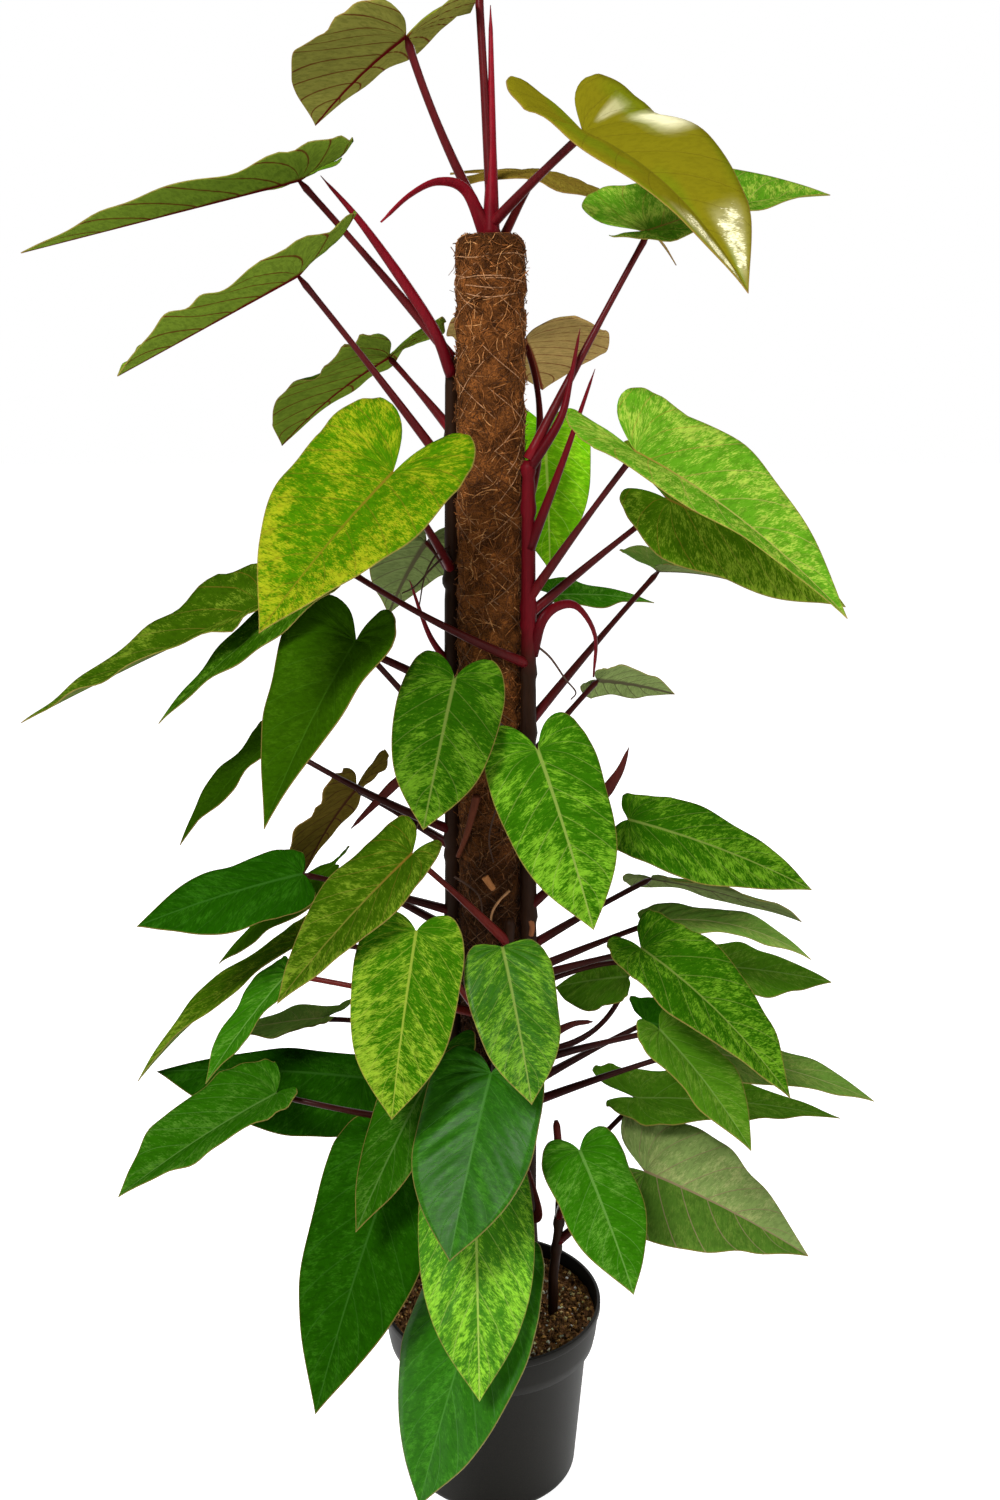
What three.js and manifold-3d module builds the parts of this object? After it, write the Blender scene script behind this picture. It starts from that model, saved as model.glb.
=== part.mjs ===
// A potted painted lady philodendron. Five leafy stems climb a coir pole that stands in a nursery pot
// filled with peat. Millimetres, +Z up, with the origin at the middle of the pot's underside.
// A leaf is a stalk, grown into its stem, and a blade of its own just above the stalk's end.

import * as THREE from "three";
import { mergeVertices } from "three/addons/utils/BufferGeometryUtils.js";
import Module from "manifold-3d";

const wasm = await Module();
wasm.setup();

// Clearance where two pieces meet
const GAP = 0.3;

// Nursery pot: a tapered body under a wider collar
const POT_HEIGHT = 194;
const RIM_RADIUS = 110;
const COLLAR_FOOT_RADIUS = 104;
const COLLAR_HEIGHT = 44;
const BODY_TOP_RADIUS = 97;
const BODY_FOOT_RADIUS = 86;
const FOOT_ROUNDING = 10;
const POT_WALL = 2.2;
const POT_FLOOR = 3;
const POT_SEGMENTS = 36;
const DRAIN_HOLES = 6;
const DRAIN_HOLE_RADIUS = 6;
const DRAIN_RING_RADIUS = 55;

// Peat
const SOIL_TOP = 178;
const SOIL_BUMP = 2;

// Coir pole: a wooden stake in a bound coir sleeve
const POLE_TOP = 1228;
const SLEEVE_RADIUS = 29;
const SLEEVE_FOOT = 120;
const SLEEVE_SHOULDER = 6;
const SLEEVE_SIDES = 18;
const SLEEVE_ROWS = 26;
const SLEEVE_RELIEF = 1;
const BINDING_PITCH = 78;
const STAKE_RADIUS = 11;
const STAKE_FOOT = 6;
const STAKE_TOP = 1212;

// Stems: their direction round the pole at the soil and at the head, in degrees, with head and radius
const STEM_FOOT = 146;
const STEM_SIDES = 8;
const STEM_STEP = 75;
const STRAIGHT_TOP = 222;
const STEM_STAND_OFF = 1.6;
const FOOT_SPREAD = 7;
const STEMS = {
  back: { foot: 100, head: 88, top: 1240, radius: 8 },
  right: { foot: -20, head: -33, top: 1045, radius: 8 },
  left: { foot: 170, head: 152, top: 1130, radius: 8 },
  front: { foot: -112, head: -62, top: 625, radius: 7 },
  side: { foot: -5, head: -5, top: 400, radius: 5, reach: 62 },
};

// Stalks
const STALK_SIDES = 5;
const STALK_STEPS = 4;
const STALK_FOOT_RADIUS = 4.6;
const STALK_RADIUS = 2.8;
const STALK_TIP_RADIUS = 1.6;
const STALK_BOW = 0.01;

// Blades
const BLADE_THICKNESS = 1;
const LOBE_ROWS = 3;
const LARGE_BLADE = 95;
const LARGE_BLADE_ROWS = 8;
const SMALL_BLADE_ROWS = 7;
const HALF_COLUMNS = 2;
const LOBE_CREST = 0.58;
const SINUS_WIDTH = 0.2;
const MARGIN_DROOP = 8;
const LOBE_LIFT = 0.08;
const DROOPING_ARCH = 0.09;
const WAVE_HEIGHT = 3.5;
const WAVES = 1.7;

// Every leaf: its number, its stem, the height where its stalk leaves the stem, the blade's base,
// the blade's tip, the blade's width, then its form: roll and fold in degrees, arch and lobe as shares
// of the length, the place of the widest part, and fullness towards the tip. A last entry moves the
// middle of the stalk aside, clear of what it passes.
const LEAVES = [
  [1, "back", 1226, [-70, 30, 1385], [-165, 200, 1325], 145, -9, 21, 0.02, 0.2, 0.14, 2.2, [-10, 0, -6]],
  [2, "back", 1232, [-10, 60, 1425], [50, 230, 1455], 120, 0, 15, 0.05, 0.22, 0.08, 2.0],
  [3, "back", 1236, [75, -50, 1305], [195, -170, 1185], 156, 4, 22, 0.08, 0.25, 0.05, 2.4],
  [4, "right", 1042, [135, 20, 1230], [295, 60, 1260], 130, 20, 24, 0.04, 0.28, 0.08, 2.0],
  [5, "back", 1205, [40, 120, 1280], [170, 130, 1200], 130, 7, 4, 0.12, 0.42, 0.08, 2.0],
  [6, "right", 1007, [30, 90, 1135], [50, 220, 1080], 150, 0, 15, 0.04, 0.25, 0.15, 2.4, [24, 0, 0]],
  [7, "left", 1125, [-160, 0, 1271], [-380, -60, 1213], 128, 10, 18, 0.0, 0.2, 0.08, 2.0],
  [8, "left", 1024, [-160, -30, 1195], [-295, -120, 1120], 132, 18, 22, 0.0, 0.32, 0.42, 3.0],
  [9, "left", 1062, [-92, 70, 1122], [-205, 180, 1030], 148, -9, 15, 0.03, 0.2, 0.08, 2.6],
  [10, "left", 938, [-80, -95, 1040], [-180, -200, 930], 144, -21, 21, 0.03, 0.29, 0.04, 2.3],
  [11, "right", 919, [120, -80, 1055], [275, -215, 945], 124, 12, 28, 0.05, 0.22, 0.0, 2.0],
  [12, "right", 905, [160, 20, 1000], [330, 60, 895], 135, 35, 0, 0.04, 0.27, 0.08, 2.2],
  [13, "right", 804, [160, 110, 920], [255, 190, 890], 100, 5, 20, 0.03, 0.2, 0.1, 2.0],
  [14, "right", 770, [100, 60, 825], [180, 120, 795], 44, -50, 5, 0.03, 0.1, 0.1, 2.4],
  [15, "back", 1000, [50, 130, 1050], [55, 80, 925], 86, 0, 8, 0.04, 0.15, 0.1, 2.6, [-35, 106, 0]],
  [16, "back", 830, [60, 90, 900], [160, 150, 880], 65, 14, 10, 0.03, 0.15, 0.1, 1.4],
  [17, "right", 770, [-30, -110, 870], [-55, -180, 760], 90, -14, 0, 0.03, 0.16, 0.12, 3.0],
  [18, "right", 705, [40, -120, 810], [85, -200, 680], 98, 16, 0, 0.04, 0.18, 0.12, 3.0],
  [19, "right", 625, [125, -40, 720], [290, -60, 660], 90, 27, 3, 0.04, 0.07, 0.2, 2.4],
  [22, "right", 585, [155, 50, 629], [315, 110, 558], 115, -20, 5, 0.03, 0.05, 0.12, 2.4],
  [23, "right", 560, [155, 10, 600], [305, 0, 565], 62, 3, 12, 0.1, 0.1, 0.2, 2.6],
  [24, "right", 553, [135, -90, 615], [260, -170, 510], 105, 8, 19, 0.06, 0.13, 0.12, 2.4],
  [25, "back", 490, [180, 70, 529], [345, 90, 500], 82, 15, 5, 0.03, 0.1, 0.2, 2.6, [0, 0, 40]],
  [26, "back", 450, [135, 60, 520], [65, 110, 485], 76, -25, 0, 0.02, 0.1, 0.2, 2.4, [45, 0, -60]],
  [27, "right", 440, [155, 60, 470], [265, 90, 420], 90, 20, 5, 0.03, 0.12, 0.2, 2.4],
  [28, "right", 464, [150, -120, 550], [225, -190, 470], 74, 0, 18, 0.04, 0.12, 0.2, 2.6],
  [29, "right", 420, [190, 0, 470], [370, -20, 425], 100, -3, 10, 0.04, 0.1, 0.2, 2.4],
  [30, "side", 330, [150, 60, 385], [365, 100, 340], 112, 3, 12, 0.03, 0.2, 0.12, 1.4],
  [32, "side", 260, [152, -10, 342], [305, -70, 286], 148, 21, 8, 0.04, 0.26, 0.1, 1.6],
  [33, "side", 290, [80, -130, 435], [125, -210, 340], 82, 4, 8, 0.03, 0.12, 0.15, 2.8],
  [34, "front", 520, [10, -120, 630], [35, -200, 520], 80, 0, 10, 0.03, 0.03, 0.22, 3.0],
  [35, "front", 496, [-65, -120, 645], [-85, -190, 500], 98, -5, 20, 0.03, 0.1, 0.2, 3.0],
  [36, "front", 597, [-70, -90, 705], [-185, -150, 590], 82, -18, 22, 0.03, 0.14, 0.15, 2.4],
  [37, "left", 770, [-115, -80, 895], [-190, -150, 750], 132, -3, 26, 0.03, 0.17, 0.04, 1.5],
  [38, "left", 826, [-210, 20, 905], [-430, 0, 800], 142, -10, 24, 0.01, 0.16, 0.12, 0.75],
  [39, "right", 860, [-125, -40, 950], [-300, -20, 805], 90, -15, 10, 0.03, 0.16, 0.12, 2.6, [0, -60, 0]],
  [40, "left", 935, [-60, 70, 955], [-105, 190, 860], 88, 8, 12, 0.03, 0.2, 0.1, 2.2],
  [42, "left", 691, [-205, 30, 775], [-295, 20, 674], 88, -5, 15, 0.03, 0.12, 0.15, 2.4, [0, -38, 0]],
  [43, "left", 675, [-130, 50, 720], [-190, 110, 610], 95, -10, 15, 0.03, 0.25, 0.1, 3.2],
  [45, "left", 610, [-175, -20, 660], [-325, -50, 620], 87, -25, 0, 0.03, 0.04, 0.25, 2.4],
  [46, "left", 590, [-155, 50, 640], [-275, 80, 525], 80, -12, 0, 0.03, 0.1, 0.2, 2.4],
  [47, "left", 555, [-185, 60, 560], [-355, 40, 415], 76, 2, 20, 0.05, 0.1, 0.25, 2.6],
  [48, "front", 520, [-195, 0, 550], [-270, -50, 460], 52, 0, 22, 0.03, 0.1, 0.25, 2.4],
  [49, "back", 470, [-175, 100, 455], [-295, 160, 405], 80, 0, 10, 0.02, 0.2, 0.1, 2.2],
  [52, "left", 400, [-125, 0, 440], [-340, 60, 415], 125, -22, -20, 0.03, 0.15, 0.15, 2.2],
  [53, "left", 380, [-200, -80, 465], [-335, -150, 400], 94, -6, 28, 0.03, 0.1, 0.22, 2.6, [0, -95, 45]],
  [54, "front", 430, [-42, -85, 515], [-120, -175, 380], 72, -8, 10, 0.03, 0.13, 0.2, 2.6],
  [55, "front", 400, [0, -125, 510], [-35, -235, 390], 110, 0, 10, 0.03, 0.12, 0.2, 3.0],
  [56, "front", 330, [-15, -130, 425], [-10, -230, 245], 104, 0, 8, 0.03, 0.1, 0.3, 2.4],
  [57, "front", 255, [5, -110, 315], [-65, -220, 125], 138, 9, 8, 0.03, 0.1, 0.28, 2.6],
  [58, "left", 330, [-85, -80, 410], [-160, -190, 200], 134, -4, 10, 0.03, 0.08, 0.12, 2.4],
].map(([number, stem, joint, base, tip, width, roll, fold, arch, lobe, wide, full, sway]) => ({
  number,
  stem,
  joint,
  base: new THREE.Vector3(...base),
  tip: new THREE.Vector3(...tip),
  width,
  roll,
  fold,
  arch,
  lobe,
  wide,
  full,
  sway: new THREE.Vector3(...(sway ?? [0, 0, 0])),
}));

// Rolled new leaves and the straps that sheathed them: places along each, then the half widths across
// at the start, in the middle and at the end. A strap is wider one way than the other.
const SHOOTS = [
  {
    stem: "left",
    path: [[-34, 14, 1110], [-52, 6, 1155], [-104, -3, 1231], [-141, -5, 1274]],
    wide: [7, 6, 1.2],
  },
  {
    stem: "back",
    path: [[0, 38, 1225], [1, 46, 1300], [0, 60, 1412]],
    wide: [8, 4, 1.5],
  },
  {
    stem: "back",
    path: [[-3, 38, 1222], [-20, 32, 1262], [-43, 15, 1270], [-67, 0, 1259], [-91, -15, 1237]],
    wide: [6, 4, 2],
    thin: [3, 1.2, 1],
  },
  {
    stem: "right",
    path: [[34, -22, 1035], [59, -20, 1075], [68, -15, 1108], [76, -10, 1151]],
    wide: [5, 3, 1],
  },
  {
    stem: "right",
    path: [[34, -22, 965], [62, -30, 1042], [88, -32, 1119]],
    wide: [5, 3, 1],
  },
  {
    stem: "right",
    path: [[37, -20, 868], [45, -24, 900], [60, -14, 912], [78, -2, 908], [94, 6, 880], [93, 4, 842]],
    wide: [5, 4, 2],
    thin: [3, 1.2, 1],
  },
  {
    stem: "right",
    path: [[35, -19, 712], [90, -24, 730], [114, -22, 756], [125, -20, 783]],
    wide: [4, 6, 1],
    thin: [3, 1.5, 1],
  },
  {
    stem: "left",
    path: [[-37, 14, 850], [-56, 10, 880], [-72, -10, 934]],
    wide: [4, 2.5, 1],
  },
  {
    stem: "left",
    path: [[-37, 12, 770], [-80, 6, 747], [-105, 0, 725], [-130, -10, 701]],
    wide: [4, 5, 1.5],
    thin: [3, 1.2, 1],
  },
  {
    stem: "right",
    path: [[40, -18, 462], [58, -16, 492], [77, -10, 502], [97, -10, 505]],
    wide: [4, 4, 2],
    thin: [2.5, 1.2, 1],
  },
];

const UP = new THREE.Vector3(0, 0, 1);
const clamp = THREE.MathUtils.clamp;
const lerp = THREE.MathUtils.lerp;
const radians = THREE.MathUtils.degToRad;

// A closed geometry as a solid
function toSolid(geometry) {
  const bare = new THREE.BufferGeometry();
  bare.setAttribute("position", geometry.getAttribute("position"));
  bare.setIndex(geometry.index);
  const merged = mergeVertices(bare, 1e-3);
  return new wasm.Manifold(
    new wasm.Mesh({
      numProp: 3,
      vertProperties: merged.getAttribute("position").array,
      triVerts: new Uint32Array(merged.index.array),
    }),
  );
}

// A solid as a flat-shaded geometry
function toGeometry(solid) {
  const mesh = solid.getMesh();
  const positions = new Float32Array(mesh.numVert * 3);
  for (let i = 0; i < mesh.numVert; i += 1) {
    const start = i * mesh.numProp;
    positions.set(mesh.vertProperties.subarray(start, start + 3), i * 3);
  }
  const indexed = new THREE.BufferGeometry();
  indexed.setAttribute("position", new THREE.BufferAttribute(positions, 3));
  indexed.setIndex(new THREE.BufferAttribute(mesh.triVerts, 1));
  const geometry = indexed.toNonIndexed();
  geometry.computeVertexNormals();
  return geometry;
}

// An upright cylinder from one height to another
function post(radius, low, high, sides, x = 0, y = 0) {
  const geometry = new THREE.CylinderGeometry(radius, radius, high - low, sides);
  geometry.rotateX(Math.PI / 2);
  geometry.translate(x, y, (low + high) / 2);
  return toSolid(geometry);
}

// A solid turned from a profile of [radius, height] points that starts and ends on the axis
function turned(profile, segments) {
  const points = profile.map(([radius, height]) => new THREE.Vector2(radius, height));
  const geometry = new THREE.LatheGeometry(points, segments);
  geometry.rotateX(Math.PI / 2);
  return geometry;
}

// A closed limb along a curve. halfWidths gives its two half widths at a share of its length.
function limb(curve, steps, sides, halfWidths) {
  const geometry = new THREE.CylinderGeometry(1, 1, 1, sides, steps);
  const frames = curve.computeFrenetFrames(steps, false);
  const position = geometry.getAttribute("position");
  const point = new THREE.Vector3();
  for (let i = 0; i < position.count; i += 1) {
    const share = clamp(position.getY(i) + 0.5, 0, 1);
    const step = Math.round(share * steps);
    const [across, deep] = halfWidths(share);
    curve.getPointAt(share, point);
    point.addScaledVector(frames.normals[step], position.getX(i) * across);
    point.addScaledVector(frames.binormals[step], -position.getZ(i) * deep);
    position.setXYZ(i, point.x, point.y, point.z);
  }
  return toSolid(geometry);
}

// Pot: the profile runs up the outside from the middle of the underside and back down the inside.
function makePot() {
  const ledge = POT_HEIGHT - COLLAR_HEIGHT;
  const outside = [[0, 0]];
  for (let i = 0; i <= 3; i += 1) {
    const turn = radians(30 * i);
    outside.push([
      BODY_FOOT_RADIUS - FOOT_ROUNDING * (1 - Math.sin(turn)),
      FOOT_ROUNDING * (1 - Math.cos(turn)),
    ]);
  }
  outside.push([BODY_TOP_RADIUS, ledge]);
  outside.push([COLLAR_FOOT_RADIUS, ledge + 1.5]);
  outside.push([COLLAR_FOOT_RADIUS + 2, ledge + 12]);
  outside.push([RIM_RADIUS - 1.5, POT_HEIGHT - 9]);
  outside.push([RIM_RADIUS, POT_HEIGHT - 7]);
  outside.push([RIM_RADIUS, POT_HEIGHT - 1]);
  outside.push([RIM_RADIUS - 1, POT_HEIGHT]);
  const inside = [
    [RIM_RADIUS - POT_WALL - 1, POT_HEIGHT],
    [RIM_RADIUS - POT_WALL - 1.5, POT_HEIGHT - 1],
    ...cavityProfile(0).reverse(),
  ];
  let pot = toSolid(turned([...outside, ...inside], POT_SEGMENTS));
  for (let i = 0; i < DRAIN_HOLES; i += 1) {
    const turn = ((i + 0.5) / DRAIN_HOLES) * Math.PI * 2;
    const x = DRAIN_RING_RADIUS * Math.cos(turn);
    const y = DRAIN_RING_RADIUS * Math.sin(turn);
    pot = pot.subtract(post(DRAIN_HOLE_RADIUS, -1, POT_FLOOR + 1, 12, x, y));
  }
  return toGeometry(pot);
}

// The inside of the pot from the middle of its floor up to the collar, drawn in by a clearance
function cavityProfile(clearance) {
  const ledge = POT_HEIGHT - COLLAR_HEIGHT;
  const inset = POT_WALL + clearance;
  return [
    [0, POT_FLOOR + clearance],
    [BODY_FOOT_RADIUS - FOOT_ROUNDING, POT_FLOOR + clearance],
    [BODY_FOOT_RADIUS - inset, FOOT_ROUNDING + clearance],
    [BODY_TOP_RADIUS - inset, ledge + POT_WALL],
    [COLLAR_FOOT_RADIUS - inset, ledge + POT_WALL + 1.5],
    [COLLAR_FOOT_RADIUS + 2 - inset, ledge + 14],
  ];
}

// Height of the peat's surface at a distance and a direction from the pole
function soilHeight(radius, turn) {
  const ripples = Math.sin(3 * turn + radius / 9) + Math.sin(5 * turn - radius / 7);
  return SOIL_TOP + SOIL_BUMP * 0.5 * ripples;
}

// Peat: it fills the pot, and the sleeve, the stake and the stems stand in plain holes in it.
function makeSoil() {
  const holeRadius = SLEEVE_RADIUS + GAP + 0.5;
  const edgeRadius = COLLAR_FOOT_RADIUS + 2.8 - POT_WALL - GAP;
  const top = [];
  const rings = 4;
  for (let i = 0; i <= rings; i += 1) {
    top.push([lerp(edgeRadius, holeRadius, i / rings), SOIL_TOP]);
  }
  const hole = [
    [holeRadius, SLEEVE_FOOT - GAP],
    [STAKE_RADIUS + GAP, SLEEVE_FOOT - GAP],
    [STAKE_RADIUS + GAP, STAKE_FOOT - GAP],
    [0, STAKE_FOOT - GAP],
  ];
  const geometry = turned([...cavityProfile(GAP), ...top, ...hole], POT_SEGMENTS);
  const position = geometry.getAttribute("position");
  for (let i = 0; i < position.count; i += 1) {
    const x = position.getX(i);
    const y = position.getY(i);
    if (position.getZ(i) > SOIL_TOP - 1) {
      position.setZ(i, soilHeight(Math.hypot(x, y), Math.atan2(y, x)));
    }
  }
  let soil = toSolid(geometry);
  for (const [name, stem] of Object.entries(STEMS)) {
    const foot = stemPoint(name, STEM_FOOT);
    const clear = (stem.radius + GAP) / Math.cos(Math.PI / 12);
    soil = soil.subtract(post(clear, STEM_FOOT - GAP, SOIL_TOP + 20, 12, foot.x, foot.y));
  }
  return toGeometry(soil);
}

// Stake inside the sleeve, with a blunt point at its foot
function makeStake() {
  const profile = [
    [0, STAKE_FOOT],
    [STAKE_RADIUS * 0.5, STAKE_FOOT],
    [STAKE_RADIUS - 0.2, STAKE_FOOT + 30],
    [STAKE_RADIUS - 0.2, STAKE_TOP],
    [0, STAKE_TOP],
  ];
  return turned(profile, 16).toNonIndexed();
}

// Sleeve: bulges show between the crossing turns of its binding, and die away in the peat.
function makeSleeve() {
  const shoulder = SLEEVE_RADIUS - SLEEVE_SHOULDER;
  const profile = [[0, SLEEVE_FOOT]];
  for (let i = 0; i <= SLEEVE_ROWS; i += 1) {
    const height = lerp(SLEEVE_FOOT, POLE_TOP - SLEEVE_SHOULDER, i / SLEEVE_ROWS);
    profile.push([SLEEVE_RADIUS, height]);
  }
  profile.push([shoulder + SLEEVE_SHOULDER * 0.7, POLE_TOP - SLEEVE_SHOULDER * 0.3]);
  profile.push([shoulder, POLE_TOP]);
  profile.push([0, POLE_TOP - 1]);
  const geometry = turned(profile, SLEEVE_SIDES);
  const position = geometry.getAttribute("position");
  for (let i = 0; i < position.count; i += 1) {
    const [x, y, z] = [position.getX(i), position.getY(i), position.getZ(i)];
    const radius = Math.hypot(x, y);
    if (radius > SLEEVE_RADIUS - 1) {
      const turn = Math.atan2(y, x);
      const climb = (z / BINDING_PITCH) * Math.PI * 2;
      const clearOfSoil = clamp((z - SOIL_TOP - 10) / 40, 0, 1);
      const bulge = SLEEVE_RELIEF * Math.sin(climb + turn) * Math.sin(climb - turn) * clearOfSoil;
      const scale = (radius + bulge) / radius;
      position.setXY(i, x * scale, y * scale);
    }
  }
  const bore = post(STAKE_RADIUS + GAP, SLEEVE_FOOT - 1, STAKE_TOP + GAP, 16);
  return toGeometry(toSolid(geometry).subtract(bore));
}

// Centre line of a stem at a height. In the peat and a little above it the stem stands straight.
function stemPoint(name, height) {
  const stem = STEMS[name];
  const z = Math.max(height, STRAIGHT_TOP);
  const share = clamp((z - STRAIGHT_TOP) / (stem.top - STRAIGHT_TOP), 0, 1);
  const turn = radians(lerp(stem.foot, stem.head, share));
  const spread = FOOT_SPREAD * clamp((300 - z) / 120, 0, 1);
  const onPole = SLEEVE_RADIUS + STEM_STAND_OFF + stem.radius + spread;
  const reach = stem.reach ? stem.reach + 6 * Math.sin(share * 3) : onPole;
  return new THREE.Vector3(reach * Math.cos(turn), reach * Math.sin(turn), height);
}

// The blade's own directions: along the midrib, up from its face, and towards its right side
function bladeFrame(leaf) {
  const along = leaf.tip.clone().sub(leaf.base);
  const length = along.length();
  along.normalize();
  const level = UP.clone().addScaledVector(along, -along.z).normalize();
  const side = along.clone().cross(level);
  const roll = radians(leaf.roll);
  const up = level.multiplyScalar(Math.cos(roll)).addScaledVector(side, Math.sin(roll));
  const right = along.clone().cross(up);
  return { along, up, right, length };
}

// Half of a blade's outline, from the lobe to the tip. Each row is a side vein: where it leaves the
// midrib, then where it ends, along the midrib and across it as a share of the half width.
function veins(leaf, rows) {
  const list = [];
  for (let i = 0; i < LOBE_ROWS; i += 1) {
    const turn = (Math.PI / 2) * (i / LOBE_ROWS);
    const end = leaf.wide - (leaf.wide + leaf.lobe) * Math.cos(turn);
    list.push([0, end, LOBE_CREST + (1 - LOBE_CREST) * Math.sin(turn)]);
  }
  const rest = rows - LOBE_ROWS;
  for (let i = 0; i <= rest; i += 1) {
    const share = i / rest;
    const start = i < rest ? 0.97 * share ** 1.1 : 1;
    const across = (1 - share ** leaf.full) * (1 - 0.3 * share ** 6);
    list.push([start, leaf.wide + share * (1 - leaf.wide), across]);
  }
  return list;
}

// A place on the blade's middle sheet: along runs from the base at 0 to the tip at 1, across from the
// midrib at 0 to the margin at 1, and side is 1 on the right half and -1 on the left.
function bladePoint(leaf, frame, along, across, side) {
  const arched = along > 0 || leaf.arch > DROOPING_ARCH;
  const arch = arched ? leaf.arch * 4 * along * (1 - along) : -along * LOBE_LIFT;
  const phase = leaf.number * 0.618 + (side > 0 ? 0.3 : 0);
  const wave = WAVE_HEIGHT * Math.sin(2 * Math.PI * (WAVES * along + phase)) * across ** 2;
  const tilt = radians(leaf.fold - MARGIN_DROOP * across);
  const reach = (across * leaf.width) / 2;
  return leaf.base
    .clone()
    .addScaledVector(frame.along, along * frame.length)
    .addScaledVector(frame.right, side * reach * Math.cos(tilt))
    .addScaledVector(frame.up, arch * frame.length + reach * Math.sin(tilt) + wave);
}

// A blade's middle sheet as an open indexed geometry that faces up
function bladeSheet(leaf) {
  const frame = bladeFrame(leaf);
  const rows = leaf.width < LARGE_BLADE ? SMALL_BLADE_ROWS : LARGE_BLADE_ROWS;
  const list = veins(leaf, rows);
  const positions = [];
  const found = new Map();
  const vertex = (along, across, side) => {
    const point = bladePoint(leaf, frame, along, across, side);
    const key = point.toArray().map((value) => value.toFixed(3)).join();
    if (!found.has(key)) {
      found.set(key, positions.length / 3);
      positions.push(point.x, point.y, point.z);
    }
    return found.get(key);
  };
  const faces = [];
  const addFace = (a, b, c) => {
    if (a !== b && b !== c && c !== a) faces.push(a, b, c);
  };
  for (const side of [1, -1]) {
    const grid = list.map(([start, end, across], row) => {
      const line = [];
      for (let j = 0; j <= HALF_COLUMNS; j += 1) {
        const v = j / HALF_COLUMNS;
        if (row === 0) {
          const bend = 2 * v * (1 - v);
          line.push(vertex(end * (bend + v * v), bend * SINUS_WIDTH + v * v * across, side));
        } else {
          line.push(vertex(lerp(start, end, v), across * v, side));
        }
      }
      return line;
    });
    for (let i = 0; i < grid.length - 1; i += 1) {
      for (let j = 0; j < HALF_COLUMNS; j += 1) {
        const corners = [grid[i][j], grid[i][j + 1], grid[i + 1][j + 1], grid[i + 1][j]];
        const [a, b, c, d] = side > 0 ? corners : corners.reverse();
        addFace(a, b, c);
        addFace(a, c, d);
      }
    }
  }
  const sheet = new THREE.BufferGeometry();
  sheet.setAttribute("position", new THREE.Float32BufferAttribute(positions, 3));
  sheet.setIndex(faces);
  sheet.computeVertexNormals();
  return sheet;
}

// A sheet given thickness: both faces are split alike, and a band of faces closes the margin.
function thicken(sheet, thickness) {
  const position = sheet.getAttribute("position");
  const normal = sheet.getAttribute("normal");
  const faces = Array.from(sheet.index.array);
  const count = position.count;
  const positions = [];
  for (const half of [thickness / 2, -thickness / 2]) {
    for (let i = 0; i < count; i += 1) {
      positions.push(position.getX(i) + half * normal.getX(i));
      positions.push(position.getY(i) + half * normal.getY(i));
      positions.push(position.getZ(i) + half * normal.getZ(i));
    }
  }
  const edges = new Set();
  const solidFaces = [];
  for (let i = 0; i < faces.length; i += 3) {
    const [a, b, c] = faces.slice(i, i + 3);
    solidFaces.push(a, b, c, count + a, count + c, count + b);
    for (const [from, to] of [[a, b], [b, c], [c, a]]) {
      if (!edges.delete(to + " " + from)) edges.add(from + " " + to);
    }
  }
  for (const edge of edges) {
    const [from, to] = edge.split(" ").map(Number);
    solidFaces.push(count + from, count + to, to, count + from, to, from);
  }
  const geometry = new THREE.BufferGeometry();
  geometry.setAttribute("position", new THREE.Float32BufferAttribute(positions, 3));
  geometry.setIndex(solidFaces);
  return geometry;
}

function makeBlade(leaf) {
  const geometry = thicken(bladeSheet(leaf), BLADE_THICKNESS).toNonIndexed();
  geometry.computeVertexNormals();
  return geometry;
}

// A leaf's stalk: from the stem's centre line, bowed a little, to just under the base of the blade
function makeStalk(leaf) {
  const { up } = bladeFrame(leaf);
  const start = stemPoint(leaf.stem, leaf.joint);
  const bow = 2 * STALK_BOW * leaf.base.distanceTo(start);
  const middle = start.clone().lerp(leaf.base, 0.5).addScaledVector(UP, bow).add(leaf.sway);
  const approach = leaf.base.clone().sub(middle).normalize();
  const lean = Math.sqrt(Math.max(0, 1 - approach.dot(up) ** 2));
  const crease = leaf.fold < 0 ? STALK_TIP_RADIUS * Math.sin(radians(-leaf.fold)) : 0;
  const drop = BLADE_THICKNESS / 2 + GAP + STALK_TIP_RADIUS * lean + crease;
  const end = leaf.base.clone().addScaledVector(up, -drop);
  const curve = new THREE.QuadraticBezierCurve3(start, middle, end);
  return limb(curve, STALK_STEPS, STALK_SIDES, (share) => {
    const along = lerp(STALK_FOOT_RADIUS, STALK_RADIUS, Math.min(1, share * 1.6));
    const radius = share < 0.99 ? along : STALK_TIP_RADIUS;
    return [radius, radius];
  });
}

function makeShoot(shoot) {
  const curve = new THREE.CatmullRomCurve3(shoot.path.map((place) => new THREE.Vector3(...place)));
  const between = ([first, middle, last], share) =>
    share < 0.5 ? lerp(first, middle, share * 2) : lerp(middle, last, share * 2 - 1);
  return limb(curve, shoot.path.length + 1, 5, (share) => [
    between(shoot.thin ?? shoot.wide, share),
    between(shoot.wide, share),
  ]);
}

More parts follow.
